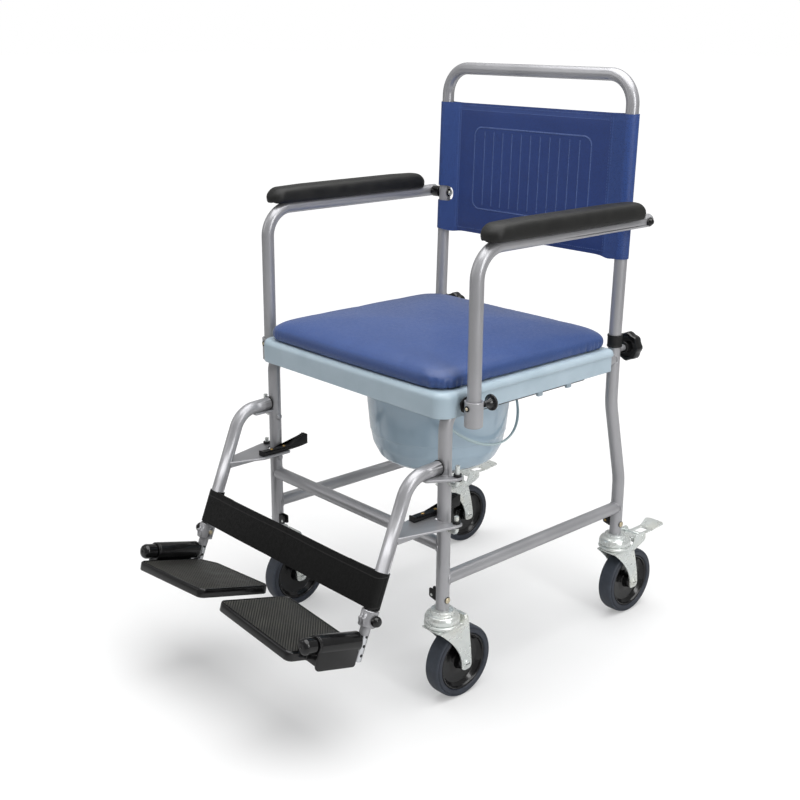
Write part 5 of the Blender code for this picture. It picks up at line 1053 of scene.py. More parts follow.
def back_sling():
    """A doubled vinyl panel: the section carried up the leaning posts, drawn flat at its hems, gently
    full between them, and a little longer beside the sleeves."""
    section = sling_section()
    low, high = SLING_Z
    hem = 0.06
    middle = np.linspace(hem, 1.0 - hem, 52)[1:-1]
    t = np.concatenate([np.linspace(0, hem, 6), middle, np.linspace(1.0 - hem, 1.0, 6)])
    x = np.broadcast_to(section[:, 0], (len(t), len(section)))
    y = np.broadcast_to(section[:, 1], x.shape).copy()
    panel = smoothstep(np.abs(x), SEAM_X + 0.002, SEAM_X - 0.004)
    edge = np.minimum(t, 1.0 - t)[:, None]
    full = smoothstep(edge, 0.0, 0.09)
    width = 1.0 - np.clip(np.abs(x) / SEAM_X, 0.0, 1.0) ** 6
    y = np.where(panel > 0.5, np.sign(y) * (0.0008 + 0.0016 * full * (0.35 + 0.65 * width)), y)
    y = y + np.where(y < 0, -1, 1) * 0.0007 * np.exp(-((np.abs(x) - SEAM_X + 0.007) / 0.004) ** 2) * full
    dip = 0.0030 * np.exp(-((np.abs(x) - 0.192) / 0.017) ** 2)
    z = low + (high - low) * t[:, None] + dip * (smoothstep(t, 0.0, 0.2) - 1.0)[:, None]
    points = np.stack([x, y + REAR_TOP_Y + (z - LEAN_Z) * math.tan(LEAN), z], -1)
    rings = np.concatenate([points, points[:, :1]], axis=1)
    skin = thick(rings, 0.0011)
    notch = rectangle(0.1905, 0.260, ARM_Z - NOTCH_HALF, ARM_Z + NOTCH_HALF, [0.012, 0.001, 0.001, 0.012], 10)
    cutters = []
    for side, _ in SIDES:
        place = Matrix(((side, 0, 0, 0), (0, 0, 1, REAR_TOP_Y), (0, 1, 0, 0), (0, 0, 0, 1)))
        cutters.append(slab(notch, -0.05, 0.06, 0.0005, place))
    sling = piece("back_sling", "back", Shape().add(skin), [SLING_VINYL], 50.0, cutters)
    threads = sling_threads()


def stitches(lines, length=0.0036, gap=0.0014, radius=0.00032):
    """Short threads laid along straight lines: each a six-sided bar with drawn-in ends."""
    starts, aheads = [], []
    for start, end in lines:
        start, end = np.array(start), np.array(end)
        count = int(np.linalg.norm(end - start) / (length + gap))
        starts.append(np.linspace(start, end, count, endpoint=False))
        aheads.append(np.repeat(unit(end - start)[None], count, axis=0))
    starts, aheads = np.concatenate(starts), np.concatenate(aheads)
    side = unit(np.cross(aheads, Y_AXIS))
    angle = np.linspace(0, 2 * math.pi, 6, endpoint=False)
    circle = np.cos(angle)[None, :, None] * side[:, None] + np.sin(angle)[None, :, None] * Y_AXIS
    rings = []
    for share, width in ((0.0, 0.35), (0.15, 1.0), (0.85, 1.0), (1.0, 0.35)):
        rings.append((starts + aheads * length * share)[:, None] + circle * radius * width)
    points = np.stack(rings, 1)
    caps = np.stack([np.arange(6)[::-1], np.arange(18, 24)])
    base = np.arange(len(starts))[:, None, None] * 24
    sides = (grid_faces(4, 6, False, True)[None] + base).reshape(-1, 4)
    ends = (caps[None] + base).reshape(-1, 6)
    return points.reshape(-1, 3), [sides[:, ::-1], ends[:, ::-1]]


def sling_threads():
    """Rows of stitches: two below the top edge, one above the bottom edge, and two beside each seam."""
    low, high = SLING_Z

    def at(x, z, lift):
        return (x, REAR_TOP_Y + (z - LEAN_Z) * math.tan(LEAN) - lift, z)

    half = SEAM_X - 0.004
    rows = ((high - 0.0045, 0.0017), (high - 0.0125, 0.0024), (low + 0.0075, 0.0021))
    lines = [(at(-half, z, lift), at(half, z, lift)) for z, lift in rows]
    for x in (-0.1835, -0.1785, 0.1785, 0.1835):
        lift = 0.0026 if abs(x) < SEAM_X else 0.0031
        lines.append((at(x, low + 0.006, lift), at(x, high - 0.006, lift)))
    shape = Shape().add(stitches(lines))
    threads = new_object("sling_stitching", shape, [THREAD])
    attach(threads, "back")
    return threads


def collar(side, name):
    """Black band round the post just above the leg's top, with a proud rim at each end."""
    inner, rim, wall = 0.0114, 0.0134, 0.0129
    corners = [(inner, 0.5341), (rim, 0.5341), (rim, 0.5368), (wall, 0.5374), (wall, 0.5523), (rim, 0.5529),
               (rim, 0.5556), (inner, 0.5556)]
    place = Matrix.Translation((side * REAR_X, REAR_TOP_Y, 0))
    shape = Shape().add(hoop(corners, 0.0005, place, 48))
    piece(f"{name}_collar", "back", shape, [BLACK])


def handwheel(side, name):
    """Lobed wheel, radius = mean + lobe * cos(lobes * a), dished behind, with a neck and a screw."""
    x = side * REAR_X
    angle = np.linspace(0, 2 * math.pi, 128, endpoint=False)
    radius = HANDWHEEL_RADIUS + HANDWHEEL_LOBE * np.cos(HANDWHEEL_LOBES * angle)
    outline = np.column_stack([radius * np.cos(angle), radius * np.sin(angle)])
    place = facing((x, HANDWHEEL_Y, HANDWHEEL_Z), (0, 1, 0))
    levels = [(0.0100, -0.0132), (0.0045, -0.0140), (0.0012, -0.0130), (0.0, -0.0105), (0.0, 0.0005),
              (0.0012, 0.0030), (0.0045, 0.0040), (0.0075, 0.0036), (0.0098, 0.0008), (0.0150, 0.0)]
    reach = radius.max()
    rings = [np.column_stack([outline * (1.0 - drawn / reach), np.full(128, h)]) for drawn, h in levels]
    shape = Shape().add(moved(lofted(np.array(rings)), place))
    shape.add(spun([(0, -0.001), (0.0072, -0.001), (0.0066, 0.0028), (0, 0.0034)], 0.0012, place, 40))
    neck = [(0, -0.0082), (0.0125, -0.0082), (0.0100, -0.0120), (0.0100, -0.0197), (0, -0.0197)]
    shape.add(spun(neck, 0.0012, place, 48))
    tip = HANDWHEEL_Y - REAR_TOP_Y - 0.0099
    shape.add(spun([(0, -0.018), (0.0032, -0.018), (0.0032, -tip), (0, -tip)], 0.0005, place, 20), 1)
    piece(f"{name}_handwheel", f"{name}_handwheel", shape, [GLOSS, ZINC])


def pivot_bolt(side, name):
    """Bolt head, spacer and acorn nut on the arm's hinge line; height runs out from the chair's middle."""
    post, arm = REAR_X, ARM_X
    clear = TUBE + 0.0003
    profile = [(0, post - 0.0157), (0.0045, post - 0.0157), (0.0075, post - 0.0128), (0.0075, post - clear),
               (0.004, post - clear), (0.004, post + clear), (0.0105, post + clear), (0.0105, arm - clear),
               (0.004, arm - clear), (0.004, arm + clear), (0.0075, arm + clear), (0.0075, arm + 0.0130),
               (0.0062, arm + 0.0136), (0.0060, arm + 0.0150), (0.0040, arm + 0.0178), (0, arm + 0.0184)]
    place = facing((0, leaned_y(ARM_Z), ARM_Z), (side, 0, 0))
    radii = [0.001] * 5 + [0.0008, 0.0008] + [0.0003] * 5 + [0.0012, 0.0012]
    shape = Shape().add(spun(profile, radii, place, 36, 3))
    shape.add(slab(hexagon(0.0072), arm + clear, arm + 0.0142, 0.0006, place))
    head = (side * (post - 0.0150), leaned_y(ARM_Z), ARM_Z)
    shape.add(dome(head, (-side, 0, 0), 0.0052, 0.0026), 1)
    piece(f"{name}_arm_pivot_bolt", "back", shape, [GLOSS, ZINC])


# Arms


def saddle_slot(side):
    """The way the peg takes out of the arm's foot, both as the arm swings up and as the back lifts."""
    clear = 0.0066
    out_z = 0.483 - 2 * clear
    peg = np.array([ARM_POST_Y - leaned_y(ARM_Z), PEG_Z - ARM_Z])
    turn = (PEG_Z - out_z) / abs(peg[0])
    turning = np.array([[math.cos(turn), -math.sin(turn)], [math.sin(turn), math.cos(turn)]])
    ahead = unit(turning @ peg - peg)
    right = np.array([-ahead[1], ahead[0]])
    rear_top = ARM_POST_Y + (clear - right[1] * clear) / right[0]
    rear_out = ARM_POST_Y + (clear - right[1] * (out_z - PEG_Z)) / right[0]
    top = PEG_Z + clear
    front = ARM_POST_Y - clear
    outline = bend([(front, out_z), (front, out_z), (front, top), (rear_top, top), (rear_out, out_z)],
                   [0.0, 0.98 * clear, 0.98 * clear], 8)[1:]
    return slab(outline, -0.0181, 0.0181, 0.0, across(side * 0.24805), 1)


def plunger_hole(side):
    start = (side * ARM_X, ARM_POST_Y + 0.0063, PEG_Z)
    return rod(start, (side * ARM_X, ARM_POST_Y + 0.0216, PEG_Z), 0.0028, 24)


def arm_tube(side, name):
    """Post and armrest rail in one bent tube, with a black plug in its rear end."""
    x = side * ARM_X
    end = leaned_y(ARM_Z) + 0.0125
    corners = [(x, ARM_POST_Y, ARM_FOOT_Z), (x, ARM_POST_Y, ARM_Z), (x, end - 0.0012, ARM_Z)]
    shape = Shape().add(tube(bend(corners, [0.050], 24), TUBE, X_AXIS, 40))
    plug = [(0, 0), (TUBE, 0), (0.0113, 0.0012), (0.0085, 0.0026), (0, 0.0030)]
    shape.add(spun(plug, 0.0010, facing((x, end - 0.0020, ARM_Z), (0, 1, 0)), 40), 1)
    cutters = [pivot_hole(side, ARM_X), saddle_slot(side), plunger_hole(side)]
    piece(f"{name}_arm_tube", f"{name}_arm", shape, [PAINT, GLOSS], cutters=cutters)


def arm_saddle(side, name):
    """Sleeve round the arm's foot with a rolled upper rim, and a lined pin end in front."""
    corners = [(SADDLE_BORE, 0.4845), (0.0128, 0.4830), (0.0147, 0.4848), (0.0149, 0.5215), (0.0152, 0.5235),
               (0.0148, 0.5250), (0.0128, 0.5250), (SADDLE_BORE, 0.5238)]
    place = Matrix.Translation((side * ARM_X, ARM_POST_Y, 0))
    shape = Shape().add(hoop(corners, 0.0008, place, 56, 4))
    cutters = [saddle_slot(side), plunger_hole(side)]
    piece(f"{name}_arm_saddle", f"{name}_arm", shape, [PAINT], cutters=cutters)
    front = (side * ARM_X, ARM_POST_Y - 0.0146, PEG_Z)
    liner = [(0, 0), (0.0050, 0), (0.0046, 0.0016), (0, 0.0016)]
    trim = Shape().add(spun(liner, 0.0006, facing(front, (0, -1, 0)), 32), 1)
    trim.add(dome((front[0], front[1] - 0.0014, front[2]), (0, -1, 0), 0.0026, 0.0018), 0)
    obj = new_object(f"{name}_saddle_trim", trim, [YELLOW_ZINC, BLACK])
    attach(obj, f"{name}_arm")


def arm_peg(side, name):
    """Black peg with a flange, height running outwards from the seat rail."""
    flange = ARM_X - TUBE - 0.0036 - 0.0006
    pin, start, tip = 0.006, 0.2300, 0.2655
    profile = [(0, start), (pin, start), (pin, flange - 0.0028), (0.0118, flange - 0.0028),
               (0.0130, flange - 0.0018), (0.0130, flange), (pin, flange), (pin, tip), (0, tip)]
    radii = [0.0004, 0.0004, 0.0006, 0.0006, 0.0006, 0.0004, 0.0010]
    shape = Shape().add(spun(profile, radii, facing((0, ARM_POST_Y, PEG_Z), (side, 0, 0)), 40, 3))
    piece(f"{name}_arm_peg", "frame", shape, [BLACK])


def arm_plunger(side, name):
    """Bright lock rod with a black mushroom knob on a conical neck; height runs back from the post."""
    place = facing((side * ARM_X, ARM_POST_Y, PEG_Z), (0, 1, 0))
    lock_rod = [(0, 0.0106), (0.0024, 0.0110), (0.0024, 0.0230), (0, 0.0230)]
    shape = Shape().add(spun(lock_rod, 0.0004, place, 24), 1)
    knob = [(0, 0.0212), (0.0048, 0.0212), (0.0058, 0.0290), (0.0080, 0.0352), (0.0128, 0.0366),
            (0.0135, 0.0390), (0.0118, 0.0410), (0, 0.0415)]
    shape.add(spun(knob, [0.001, 0.006, 0.003, 0.001, 0.0015, 0.006], place, 48, 5))
    piece(f"{name}_arm_plunger", f"{name}_plunger", shape, [GLOSS, CHROME])


def spine_loft(outline, spine_half, levels):
    """Rings of an outline drawn towards a line down its middle: point = line + share * (edge - line)."""
    middle = np.column_stack([np.zeros(len(outline)), np.clip(outline[:, 1], -spine_half, spine_half)])
    rings = []
    for share, z in levels:
        flat = middle + (outline - middle) * share
        rings.append(np.column_stack([flat, np.full(len(outline), z)]))
    return lofted(np.array(rings))


def arm_pad(side, name):
    """Moulded foam pad: a long round-ended form with a crowned top, full sides and a flat foot."""
    half, length = PAD_HALF
    outline = rectangle(-half, half, -length, length, 0.0205, 12)
    dense = divided(outline, 0.0, 7)
    levels = [(0.02, 0.7682), (0.80, 0.7682), (0.90, 0.7688), (0.950, 0.7704), (0.985, 0.7738),
              (1.0, 0.7785), (0.992, 0.7828), (0.965, 0.7867), (0.915, 0.7899), (0.84, 0.7926),
              (0.74, 0.7946), (0.60, 0.7960), (0.42, 0.7968), (0.22, 0.7971), (0.02, 0.7972)]
    points, blocks = spine_loft(dense, length - half, levels)
    y = points[:, 1]
    near_end = smoothstep(np.abs(y), 0.13, length)
    high = smoothstep(points[:, 2], 0.7785, 0.7972)
    forward = PAD_Y - np.sign(y) * 0.0060 * near_end * high
    points = points + np.column_stack([np.full(len(y), side * PAD_X), forward, -0.0020 * near_end * high])
    shape = Shape().add(outward(points, blocks))
    channel = rod((side * ARM_X, -0.19, ARM_Z), (side * ARM_X, 0.23, ARM_Z), SADDLE_BORE, 40)
    pad = piece(f"{name}_arm_pad", f"{name}_arm", shape, [FOAM], cutters=[channel])


# Seat


def seat_ring():
    """Ring moulded as a shell: one closed section carried round, from the skirt over a rolled edge and the
    flat top to the lip of the hole, and back underneath. Outer points follow a rectangle with full
    corners, inner ones an ellipse."""
    steps = 24
    outer = rectangle(-RING_HALF, RING_HALF, RING_Y[0], RING_Y[1], [0.024, 0.024, 0.012, 0.012], steps)
    outer = divided(outer, 0.004, 48)
    angle = np.arctan2(outer[:, 1] / (RING_Y[1] - RING_Y[0]), outer[:, 0] / (2 * RING_HALF))
    hole = np.column_stack([HOLE_HALF[0] * np.cos(angle), HOLE_HALF[1] * np.sin(angle)])
    behind = (outer[:, 1] > 0.1811) & (np.abs(outer[:, 0]) < 0.2300)
    on_side = (np.abs(outer[:, 0]) > 0.225) & (outer[:, 1] > -0.19)
    recess = 0.0030 * smoothstep(outer[:, 1], -0.168, -0.160) * on_side
    foot = np.where(behind, 0.5240, RING_Z[0])
    crest = RING_Z[1]
    wall = 0.0024
    roll = 0.0105
    turn = np.linspace(0, math.pi / 2, 8)

    def skirt(distance, z):
        return np.column_stack([inset(outer, distance), np.broadcast_to(z, len(outer))])

    def spread(distance, share, z):
        flat = inset(outer, distance) * (1.0 - share) + hole * share
        return np.column_stack([flat, np.full(len(hole), z)])

    def lip(distance, z):
        return np.column_stack([inset(hole, distance), np.full(len(hole), z)])

    bottom = np.minimum(foot + 0.0008, crest)
    rings = [skirt(recess + 0.0008, foot), skirt(recess, bottom)]
    rings.append(skirt(recess, np.maximum(0.5215, foot + 0.001)))
    rings.append(skirt(recess * 0.2, np.maximum(0.5232, foot + 0.0012)))
    rings += [skirt(roll * (1 - math.cos(a)), crest - roll * (1 - math.sin(a))) for a in turn]
    lip_foot, under = 0.492, 0.5325
    rings += [spread(roll, 0.2, crest), spread(roll, 0.9, crest), lip(-0.004, crest)]
    rings += [lip(-0.0012, crest - 0.0004), lip(0.0, crest - 0.0016), lip(0.0, lip_foot + 0.0006)]
    rings += [lip(-0.0006, lip_foot), lip(-0.0018, lip_foot), lip(-wall, lip_foot + 0.0006)]
    rings += [lip(-wall, 0.5310), lip(-0.004, under), spread(roll, 0.2, under)]
    rings += [skirt(roll, under), skirt(roll * 0.55, 0.5300)]
    rings += [skirt(wall + 0.0012, 0.5262), skirt(recess + wall, np.maximum(0.5222, foot + 0.001))]
    rings += [skirt(recess + wall, bottom), skirt(recess + wall - 0.0006, foot)]
    shape = Shape().add(lofted(np.array(rings), True))
    for side, _ in SIDES:
        guide_rail(shape, side)
    piece("seat_ring", "frame", shape, [RING, DARK])


def guide_rail(shape, side):
    """Dark rail under one side of the ring: a web, a ledge for the pan's rim, a foot and three tabs."""
    web = (0.158, 0.161, 0.4725, 0.534)
    ledge = (0.1335, 0.1595, 0.4812, 0.4842)
    foot = (0.160, 0.188, 0.4725, 0.4785)
    for low_x, high_x, low_z, high_z in (web, ledge, foot):
        start, end = sorted((side * low_x, side * high_x))
        shape.add(box_slab((start, -0.145, low_z), (end, 0.178, high_z), 0.0008), 1)
    for y in (-0.060, 0.050, 0.125):
        start, end = sorted((side * 0.186, side * 0.1925))
        shape.add(box_slab((start, y, 0.4690), (end, y + 0.012, 0.534), 0.0012))


def swell(obj, limit, floor):
    """Blows a pad up as cloth with air in it; no point goes further than a limit or below a floor."""
    skin = obj.modifiers.new("even_skin", "REMESH")
    skin.mode = "VOXEL"
    skin.voxel_size = 0.0055
    skin.use_smooth_shade = True
    settle(obj)
    before = read_points(obj.data)
    cloth = obj.modifiers.new("air", "CLOTH").settings
    cloth.quality = 5
    cloth.mass = 0.3
    cloth.tension_stiffness = cloth.compression_stiffness = 14.0
    cloth.bending_stiffness = 0.6
    cloth.use_pressure = True
    cloth.uniform_pressure_force = 4.0
    cloth.effector_weights.gravity = 0.0
    for number in range(1, 21):
        bpy.context.scene.frame_set(number)
    graph = bpy.context.evaluated_depsgraph_get()
    step = read_points(obj.evaluated_get(graph).data) - before
    obj.modifiers.clear()
    far = np.linalg.norm(step, axis=1, keepdims=True)
    points = before + step * np.minimum(1.0, limit / np.maximum(far, 1e-9))
    points[:, 2] = np.maximum(points[:, 2], floor)
    write_points(obj.data, points)
    bpy.context.scene.frame_set(1)


def stretch(obj, half_x, low_y, high_y, floor, top):
    """Stretches an object until its sides and its top stand at their places, bows its front edge forwards by
    4 mm (1 - u^2), and brings its height down to 1 - 0.10 (u v)^2.5 at the shares u and v of its sides."""
    points = read_points(obj.data)
    points[:, 0] *= half_x / np.abs(points[:, 0]).max()
    u = np.abs(points[:, 0]) / half_x
    y = points[:, 1]
    v = 2.0 * (y - y.min()) / (y.max() - y.min()) - 1.0
    points[:, 1] = SHIFT[1] + (low_y + high_y) / 2 + v * (high_y - low_y) / 2
    points[:, 1] -= 0.0040 * (1.0 - u * u) * smoothstep(v, -0.4, -1.0)
    height = (points[:, 2] - floor) * (top - floor) / (points[:, 2].max() - floor)
    points[:, 2] = floor + height * (1.0 - 0.10 * (u * np.abs(v)) ** 2.5)
    write_points(obj.data, points)


def gather(obj, low, high):
    """Small pleats low on the corners: each point moves in by exp(-(sin(n a) / 0.36)^2) of its angle a round
    the corner, fading upwards and away from the corner."""
    points = read_points(obj.data)
    corner_x = np.sign(points[:, 0]) * (CUSHION_HALF - CUSHION_CORNER)
    front_y, rear_y = CUSHION_Y[0] + CUSHION_CORNER, CUSHION_Y[1] - CUSHION_CORNER
    corner_y = np.where(points[:, 1] < SHIFT[1], front_y, rear_y) + SHIFT[1]
    from_corner = points[:, :2] - np.column_stack([corner_x, corner_y])
    angle = np.arctan2(np.abs(from_corner[:, 1]), np.abs(from_corner[:, 0]))
    outside = np.minimum(np.abs(from_corner[:, 0]), np.abs(from_corner[:, 1]))
    corner = smoothstep(np.hypot(*from_corner.T), 0.022, 0.034)
    corner *= smoothstep(np.abs(points[:, 0]), CUSHION_HALF - 0.060, CUSHION_HALF - 0.030)
    corner *= smoothstep(np.abs(points[:, 1] - corner_y), 0.0, 0.002) * (outside >= 0)
    height = np.clip((points[:, 2] - low) / (high - low), 0, 1)
    fade = corner * smoothstep(height, 0.55, 0.12)
    phase = 2.0 * np.sign(points[:, 0])
    wave = -0.0026 * np.exp(-((np.sin(7.0 * angle + phase) / 0.36) ** 2))
    wave -= 0.0014 * np.exp(-((np.sin(12.0 * angle + phase) / 0.36) ** 2))
    points[:, :2] += unit(from_corner) * (wave * fade)[:, None]
    write_points(obj.data, points)


def hold_caps(mesh):
    """Creases the rims of a loft's two end faces, so that a finer mesh keeps them in place."""
    crease = mesh.attributes.new("crease_edge", "FLOAT", "EDGE")
    number = {edge.key: edge.index for edge in mesh.edges}
    for face in mesh.polygons:
        if len(face.vertices) > 4:
            for key in face.edge_keys:
                crease.data[number[key]].value = 1.0


def seat_cushion():
    """Crowned vinyl cushion: an outline drawn in at its foot and its top, full at the side, blown up as
    cloth, then finished with gathers at its corners."""
    middle_y = sum(CUSHION_Y) / 2
    length = (CUSHION_Y[1] - CUSHION_Y[0]) / 2
    outline = rectangle(-CUSHION_HALF, CUSHION_HALF, -length, length, CUSHION_CORNER, 14)
    dense = divided(outline, 0.01, 30)
    low, high = CUSHION_Z
    levels = [(0.02, 0.0), (0.60, 0.0), (0.980, 0.0), (0.990, 0.03), (0.998, 0.12), (1.0, 0.24),
              (0.997, 0.37), (0.986, 0.48), (0.966, 0.56), (0.93, 0.63), (0.88, 0.69), (0.80, 0.76),
              (0.68, 0.84), (0.52, 0.92), (0.35, 0.97), (0.18, 0.995), (0.02, 1.0)]
    levels = [(share, low + (high - low) * lift) for share, lift in levels]
    points, blocks = spine_loft(dense, 0.02, levels)
    shape = Shape().add((points + (0, middle_y, 0), blocks))
    cushion = new_object("seat_cushion_dressed", shape, [VINYL], 60.0)
    swell(cushion, CUSHION_SWELL, low)
    ends_y = (CUSHION_Y[0] - CUSHION_FRONT_GIVE, CUSHION_Y[1] + CUSHION_GIVE)
    stretch(cushion, CUSHION_HALF + CUSHION_GIVE, *ends_y, low, high + CUSHION_TOP_GIVE)
    hold_caps(cushion.data)
    cushion.modifiers.new("finer", "SUBSURF").levels = 1
    settle(cushion)
    gather(cushion, low, high)
    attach(cushion, "cushion")
    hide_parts("seat_cushion")


# Pan


def bail_lines():
    """The hinge line's direction, the way that the bail hangs, and the hinge's middle."""
    along = np.array([-math.sin(BAIL_TURN), math.cos(BAIL_TURN), 0.0])
    out = np.array([math.cos(BAIL_TURN), math.sin(BAIL_TURN), 0.0])
    hang = out * math.sin(BAIL_TILT) - Z_AXIS * math.cos(BAIL_TILT)
    return along, hang, out * 0.053 + Z_AXIS * BAIL_HINGE_Z


def pan():
    """Turned pan: rolled rim, neck, tapering side with a step, and a full curve into the foot."""
    outer = [(0, PAN_FLOOR_Z), (0.086, PAN_FLOOR_Z), (0.1055, 0.3335), (0.1175, 0.357), (0.1215, 0.3785),
             (0.1228, 0.381), (0.1275, 0.430), (0.1300, 0.4836), (0.1492, 0.4840), (PAN_RIM, 0.4856)]
    inner = [(PAN_RIM, 0.4862), (0.1492, 0.4870), (0.1285, 0.4870), (0.1250, 0.430), (0.1203, 0.382),
             (0.1150, 0.357), (0.1035, 0.336), (0.085, 0.3255), (0, 0.3255)]
    outside = eased(outer, [0.012, 0.018, 0.03, 0.002, 0.002, 0.02, 0.003, 0.0006], 6)
    inside = eased(inner, [0.0005, 0.003, 0.02, 0.01, 0.03, 0.018, 0.012], 6)
    shape = Shape().add(turned(np.vstack([outside, inside]), Matrix.Identity(4), 128))
    along, _, centre = bail_lines()
    turn = Matrix.Rotation(BAIL_TURN, 4, "Z")
    cutters = []
    for end in (-1, 1):
        middle = centre + along * end * 0.125
        ear = rectangle(-0.006, 0.006, -0.006, 0.008, 0.003)
        upright = Matrix.Translation(Vector(middle)) @ turn @ Matrix.Rotation(math.pi / 2, 4, "X")
        shape.add(slab(ear, -0.0025, 0.0025, 0.0006, upright))
        cutters.append(rod(centre + along * end * 0.1205, centre + along * end * 0.1295, 0.0023, 20))
    piece("pan", "pan", shape, [PAN], cutters=cutters)


def pan_bail():
    """Moulded bow round one side of the pan, wider at its lowest part, with a pin turned in at each end."""
    along, hang, centre = bail_lines()
    t = np.linspace(0.0, math.pi, 72)[:, None]
    bow = centre + along * BAIL_REACH * np.cos(t) + hang * BAIL_REACH * np.sin(t)
    tip, turn = along * (BAIL_REACH - 0.008), along * (BAIL_REACH - 0.002)
    path = np.vstack([centre + tip, centre + turn, bow[1:-1], centre - turn, centre - tip])
    share = np.concatenate([[0, 0], np.sin(np.linspace(0, math.pi, len(path) - 4)), [0, 0]])
    wide = 1.0 + 0.75 * smoothstep(share, 0.35, 0.95)
    shape = Shape().add(tube(path, 0.002, np.cross(along, hang), 20, wide))
    piece("pan_bail", "bail", shape, [BAIL])


# Footrests


def plate_outline(side, front_y, lobed):
    """Flat bracket from the hanger tube round the outer front of the leg to the hinge pin; the lobed one
    also carries the lever."""
    clear = FRONT_Y - TUBE - 0.0016
    half = TUBE - 0.0008
    eye = 0.0085
    corners = [(FRONT_X - half, clear), (FRONT_X - half, front_y), (FRONT_X + half, front_y),
               (PIN_X + eye, FRONT_Y - eye), (PIN_X + eye, FRONT_Y + eye), (PIN_X - eye, FRONT_Y + eye),
               (PIN_X - eye, FRONT_Y - 0.4 * eye), (FRONT_X + TUBE + 0.0008, clear)]
    radii = [0.0, 0.003, 0.006, 0.0076, 0.0076, 0.0076, 0.001, 0.001]
    if lobed:
        lobe = [(0.2085, clear), (0.2085, -0.190), (0.189, -0.190), (0.189, -0.250)]
        corners = lobe + corners[1:]
        radii = [0.0, 0.004, 0.004, 0.004, 0.0] + radii[2:]
    return closed_bend([(side * x, y) for x, y in corners], radii, 6)


def hanger_brackets(shape, side):
    """The flat upper bracket, and the lower one with a flange on each side of the tube."""
    for z, front_y, lobed in ((UPPER_PLATE_Z, -0.250, False), (LOWER_PLATE_Z, down_y(0.326), True)):
        shape.add(slab(plate_outline(side, front_y, lobed), z, z + 0.004, 0.0011))
    for way in (-1, 1):
        x = side * FRONT_X + way * (TUBE - 0.0017)
        shape.add(box_slab((x - 0.0008, -0.3075, 0.3150), (x + 0.0008, -0.2165, 0.3235), 0.0005))


def hanger_clamp(shape, side, end):
    """Collar at the hanger's end with a rim at each end, two lugs in front and a bolt end inboard."""
    rim, wall, half = 0.0130, 0.0138, 0.013
    corners = [(CLAMP_BORE, -half), (rim, -half), (wall, 0.001 - half), (wall, half - 0.001), (rim, half),
               (CLAMP_BORE, half)]
    shape.add(hoop(corners, 0.0006, facing(end, DOWN_DIRECTION), 48))
    for way in (-1, 1):
        low, high = sorted(side * FRONT_X + way * reach for reach in (0.0016, 0.0066))
        start, finish = (low, end[1] - 0.0156, CLAMP_Z - 0.0060), (high, end[1] - 0.0095, CLAMP_Z + 0.0060)
        shape.add(box_slab(start, finish, 0.001))
    shape.add(dome((side * (FRONT_X - 0.0122), end[1], end[2]), (-side, 0, 0), 0.0042, 0.0038), 2)


def hanger(side, name):
    """Bent hanger tube with two pressed brackets, a plug, and a pinching collar at its lower end."""
    x = side * FRONT_X
    end = np.array([x, down_y(CLAMP_Z), CLAMP_Z])
    rear = (x, *HANGER_REAR)
    corner = (x, down_y(HANGER_BEND_Z), HANGER_BEND_Z)
    line = bend([rear, corner, tuple(end + DOWN_DIRECTION * 0.0005)], [HANGER_BEND], 24)
    shape = Shape().add(tube(line, TUBE, X_AXIS, 40))
    plug = [(0, 0), (0.0120, 0), (0.0124, 0.0006), (0.0118, 0.0022), (0, 0.0024)]
    shape.add(spun(plug, 0.0006, facing((x, rear[1] - 0.0004, rear[2]), (0, 1, 0)), 40), 1)
    hanger_brackets(shape, side)
    hanger_clamp(shape, side, end)
    eyes = rod((side * PIN_X, FRONT_Y, 0.3200), (side * PIN_X, FRONT_Y, 0.4063), 0.0040, 24)
    reach = DOWN_DIRECTION * 0.0275
    bore = rod(end - reach, end + reach, CLAMP_BORE, 40)
    screw = rod(tuple(end), (side * (FRONT_X + 0.0148), end[1], end[2]), 0.0033, 20)
    inner_bore = tube(line[-3:] + DOWN_DIRECTION * 0.002, HANGER_BORE, X_AXIS, 32)
    finishes = [PAINT, BLACK, YELLOW_ZINC]
    cutters = [eyes, bore, screw, inner_bore]
    piece(f"{name}_hanger", f"{name}_hanger", shape, finishes, cutters=cutters)


def latch_lever(side, name):
    """Black lever with a hooked nose, two rivets and a ribbed thumb pad that rises behind the leg."""
    x = side * LEVER_X
    low = LOWER_PLATE_Z + 0.0043
    high = low + 0.008
    outline = closed_bend([(-0.250, low), (-0.184, low), (-0.166, low + 0.0008), (-0.1478, low + 0.0030),
                           (-0.1478, high + 0.0135), (-0.1515, high + 0.0135), (-0.172, high + 0.0062),
                           (-0.186, high), (-0.2440, high), (-0.2500, high + 0.0022)],
                          [0.001, 0.006, 0.01, 0.001, 0.001, 0.002, 0.006, 0.006, 0.004, 0.0012], 5)
    shape = Shape().add(slab(outline, -0.0067, 0.0067, 0.0013, across(x)))
    rib, half = 0.0010, 0.0062
    for index in range(5):
        y = -0.1525 - 0.0040 * index
        z = high + 0.0132 - 0.0014 * index
        shape.add(box_slab((x - half, y - rib, z - 3 * rib), (x + half, y + rib, z + rib), 0.0004))
    for y in (-0.226, -0.198):
        shape.add(dome((x, y, high - 0.0003), (0, 0, 1), 0.0031, 0.0017), 1)
    piece(f"{name}_latch_lever", f"{name}_lever", shape, [BLACK, BRASS])


